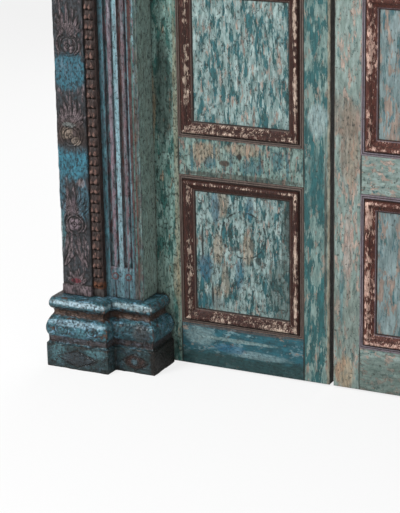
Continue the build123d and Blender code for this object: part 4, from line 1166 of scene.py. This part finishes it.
# Thick enamel-like paint, light blue over brown, shiny on the rounds and chipped to dark wood. Pale bands on
# the tori crests are painted highlights, and a dark line under the upper torus and the dark inner end are
# painted shade.
base_paint = old_paint(
    "worn_glossy_light_blue_paint_on_base_blocks", BASE_COATS, ("#3f2c24", "#1f1512"), grain="X", seed=43.0,
    edge=0, gloss=0.22, specks=0.38, speck="#1b1715", attributes=True, mirrored=True, streaks=0.3, relief=1.6,
    zones=[
        # Pale bands along the crests of the outer tori: painted highlights on paint rubbed pale.
        ((-0.756, -0.11, 0.205), (0.11, 0.06, 0.008), "#c0dae6", 0.7),
        ((-0.760, -0.11, 0.145), (0.10, 0.06, 0.009), "#a9c8d8", 0.5),
        ((-0.585, -0.07, 0.125), (0.066, 0.07, 0.032), "#304950", 0.72),
        # A pale band along the crest of the inner upper torus: painted highlight.
        ((-0.590, -0.07, 0.204), (0.08, 0.06, 0.010), "#adc3c8", 0.62),
        ((-0.70, -0.04, 0.035), (0.6, 0.6, 0.048), "#253231", 0.86),
        ((-0.82, -0.11, 0.045), (0.03, 0.05, 0.03), "#5f8b93", 0.5),
        ((-0.69, -0.11, 0.060), (0.04, 0.05, 0.014), "#5f8b93", 0.45),
        ((-0.755, -0.11, 0.036), (0.06, 0.05, 0.022), "#363c42", 0.75),
        ((-0.583, -0.07, 0.036), (0.035, 0.05, 0.020), "#4a2c24", 0.7),
        ((-0.583, -0.07, 0.036), (0.012, 0.05, 0.012), "#5d7e8a", 0.7),
        ((-0.70, -0.04, 0.171), (0.6, 0.6, 0.011), "#573b2a", 0.9),
        # A near-black line in the crease under the upper torus: painted shade.
        ((-0.70, -0.04, 0.187), (0.6, 0.6, 0.0035), "#1a120e", 0.8),
        ((-0.70, -0.04, 0.09), (0.6, 0.6, 0.010), "#44312f", 0.8),
        # The block's inner end, near-black low down: painted shade on the side away from the key lamp.
        ((-0.52, 0.0, 0.04), (0.012, 0.3, 0.055), "#1d1712", 0.92),
        ((-0.86, 0.0, 0.22), (0.035, 0.3, 0.004), "#4a3426", 0.8),
        ((-0.56, -0.05, 0.125), (0.03, 0.05, 0.03), "#4d3f3a", 0.5),
    ],
)
block = worn_block("left_base_block", "left_base_block_worn", base_paint)
both_sides(block, "base_block")


# Head: plain capitals on the jambs, a head board between them, the head beam behind and a cornice on
# top. They are sawn and planed teak, jointed and nailed, under the same old blue-green paint.
HEAD_COATS = [
    ("#9a8c84", "#776b64", 0.78, 0.03),
    ("#7d9095", "#637a7e", 0.78, 0.034),
    ("#4f6f74", "#3c575c", 0.46, 0.03),
]
# Oil paint like that of the leaves, matt, in patches that are more than twice as large.
head_paint = old_paint("flaked_blue_green_paint_on_head", HEAD_COATS, TEAK, grain="X", seed=47.0, specks=0.24)
for node in ("head_beam", "head_board", "cornice", "left_capital", "right_capital"):
    dress(node, head_paint)


# Hinges: butt hinges of rusted wrought iron, two to a leaf. Each has two flat plates, three knuckles
# and a pin, and its plates are let into the edge of the leaf and the face of the post.
RUST_SIZE, IRON_PIT_SIZE, IRON_PIT_DEPTH = 0.008, 0.0015, 0.0005


def rusted_iron():
    """Dark forged iron, dull and pitted, with patches of orange and brown rust."""
    material, tree = empty_material("rusted_iron")
    place = add(tree, "ShaderNodeTexCoord", out="Object")
    rust = noise(tree, place, RUST_SIZE, seed=3, detail=8.0, rough=0.7)
    pits = noise(tree, place, IRON_PIT_SIZE, seed=7, detail=3.0)
    inputs = {0: covered(tree, rust, share=0.45, soft=0.08), 6: linear("#2b211c"), 7: linear("#6b3d24")}
    colour = add(tree, "ShaderNodeMix", inputs, 2, data_type="RGBA")
    inputs = {0: covered(tree, pits, share=0.35, soft=0.08), 6: colour, 7: linear("#1a1614")}
    colour = add(tree, "ShaderNodeMix", inputs, 2, data_type="RGBA")
    bump = add(tree, "ShaderNodeBump", {"Height": pits, "Distance": IRON_PIT_DEPTH, "Strength": 0.8})
    rough = add(tree, "ShaderNodeMapRange", {0: rust, 3: 0.5, 4: 0.9})
    inputs = {"Base Color": colour, "Metallic": 0.35, "Roughness": rough, "Normal": bump}
    surface = add(tree, "ShaderNodeBsdfPrincipled", inputs)
    add(tree, "ShaderNodeOutputMaterial", {"Surface": surface})
    return material


iron = rusted_iron()
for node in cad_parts:
    if "hinge" in node:
        dress(node, iron)


# Hinge screws: slotted iron screws, three up each hinge plate. Only their heads show, which are nearly
# level with the plate, and each has its slot at some angle.
SCREW_RADIUS, SCREW_PROUD, SCREW_TOP_SHARE = 0.0034, 0.0003, 0.88
SCREW_COUNT, SCREW_PITCH, SCREW_BACK, SCREW_JITTER = 3, 0.034, 0.015, 0.02
SLOT_HALF_ANGLE, HALF_HEAD_POINTS, SLOT_TURNS = 12, 9, {"lower": 0.9, "upper": 2.2}
HINGE_GAP, PLATE_PROUD = 0.003, 0.001


def screw_head(facing, slot_angle):
    """A slotted screw head at the origin that faces along X: two half discs with the slot between them."""
    points, faces = [], []
    turns = np.radians(np.linspace(SLOT_HALF_ANGLE, 180 - SLOT_HALF_ANGLE, HALF_HEAD_POINTS))
    count = len(turns)
    for half in (-1, 1):
        start = len(points)
        for lift, share in ((0.0, 1.0), (SCREW_PROUD, SCREW_TOP_SHARE)):
            for angle in turns:
                a, b = share * SCREW_RADIUS * math.cos(angle), half * share * SCREW_RADIUS * math.sin(angle)
                y = a * math.cos(slot_angle) - b * math.sin(slot_angle)
                z = a * math.sin(slot_angle) + b * math.cos(slot_angle)
                points.append((facing * lift, y, z))
        top, under = range(start + count, start + 2 * count), range(start + count - 1, start - 1, -1)
        shell = [tuple(top), tuple(under)]
        for i in range(count):
            j = (i + 1) % count
            shell.append((start + i, start + j, start + count + j, start + count + i))
        faces.extend(face[:: half * facing] for face in shell)
    return make_object("screw_head", points, faces, iron)


def hinge_screws(side, sign):
    """The screws of one leaf's hinge plates, on the leaf and on the frame."""
    edge = abs(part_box("left_leaf_hanging_stile")[0][0])
    leaf_face, frame_face = edge + PLATE_PROUD, edge + HINGE_GAP - PLATE_PROUD
    for row, slot_angle in SLOT_TURNS.items():
        for part, body, face_x, facing in (
            ("leaf", f"{side}_leaf", leaf_face, 1),
            ("frame", "frame", frame_face, -1),
        ):
            low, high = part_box(f"{side}_{row}_hinge_{part}_plate")
            head = screw_head(sign * facing, slot_angle)
            start = (sign * face_x, low[1] + SCREW_BACK, (low[2] + high[2]) / 2 - SCREW_PITCH)
            name = f"{side}_{row}_{part}_hinge_screws"
            screws = repeat_up(name, head, SCREW_COUNT, start, SCREW_PITCH, SCREW_JITTER)
            bpy.data.objects.remove(head)
            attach(screws, body)


for side, sign in (("left", -1), ("right", 1)):
    hinge_screws(side, sign)


# Nail: an iron nail with a round head, driven through the top strip of the right leaf's lower
# moulding near its mitre.
NAIL_IN, NAIL_DOWN = 0.0615, 0.033
NAIL_RADIUS, NAIL_RISE, NAIL_TURNS = 0.0055, 0.0018, 14
NAIL_RINGS = ((0.5, 0.95), (0.9, 0.5), (1.0, -0.6))


def moulding_nail():
    """The nail's head, from rings of (share of the radius, share of the rise), the smallest first."""
    low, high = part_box("right_leaf_lower_moulding")
    strip, turns = bpy.data.objects["right_leaf_lower_moulding_worn"], NAIL_TURNS
    x, z = low[0] + NAIL_IN, high[2] - NAIL_DOWN
    y = strip.ray_cast((x, low[1] - 0.01, z), (0, 1, 0))[1].y
    points = [(x, y - NAIL_RISE, z)]
    for share, lift in NAIL_RINGS:
        for i in range(turns):
            angle = 2 * math.pi * i / turns
            reach = share * NAIL_RADIUS
            points.append((x + reach * math.cos(angle), y - lift * NAIL_RISE, z + reach * math.sin(angle)))
    faces = [(0, 1 + i, 1 + (i + 1) % turns) for i in range(turns)]
    for ring in range(len(NAIL_RINGS) - 1):
        for i in range(turns):
            a, b = 1 + ring * turns + i, 1 + ring * turns + (i + 1) % turns
            faces.append((a, a + turns, b + turns, b))
    faces.append(tuple(range(len(points) - 1, len(points) - 1 - turns, -1)))
    nail = make_object("right_leaf_moulding_nail", points, faces, iron)
    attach(nail, "right_leaf")


moulding_nail()
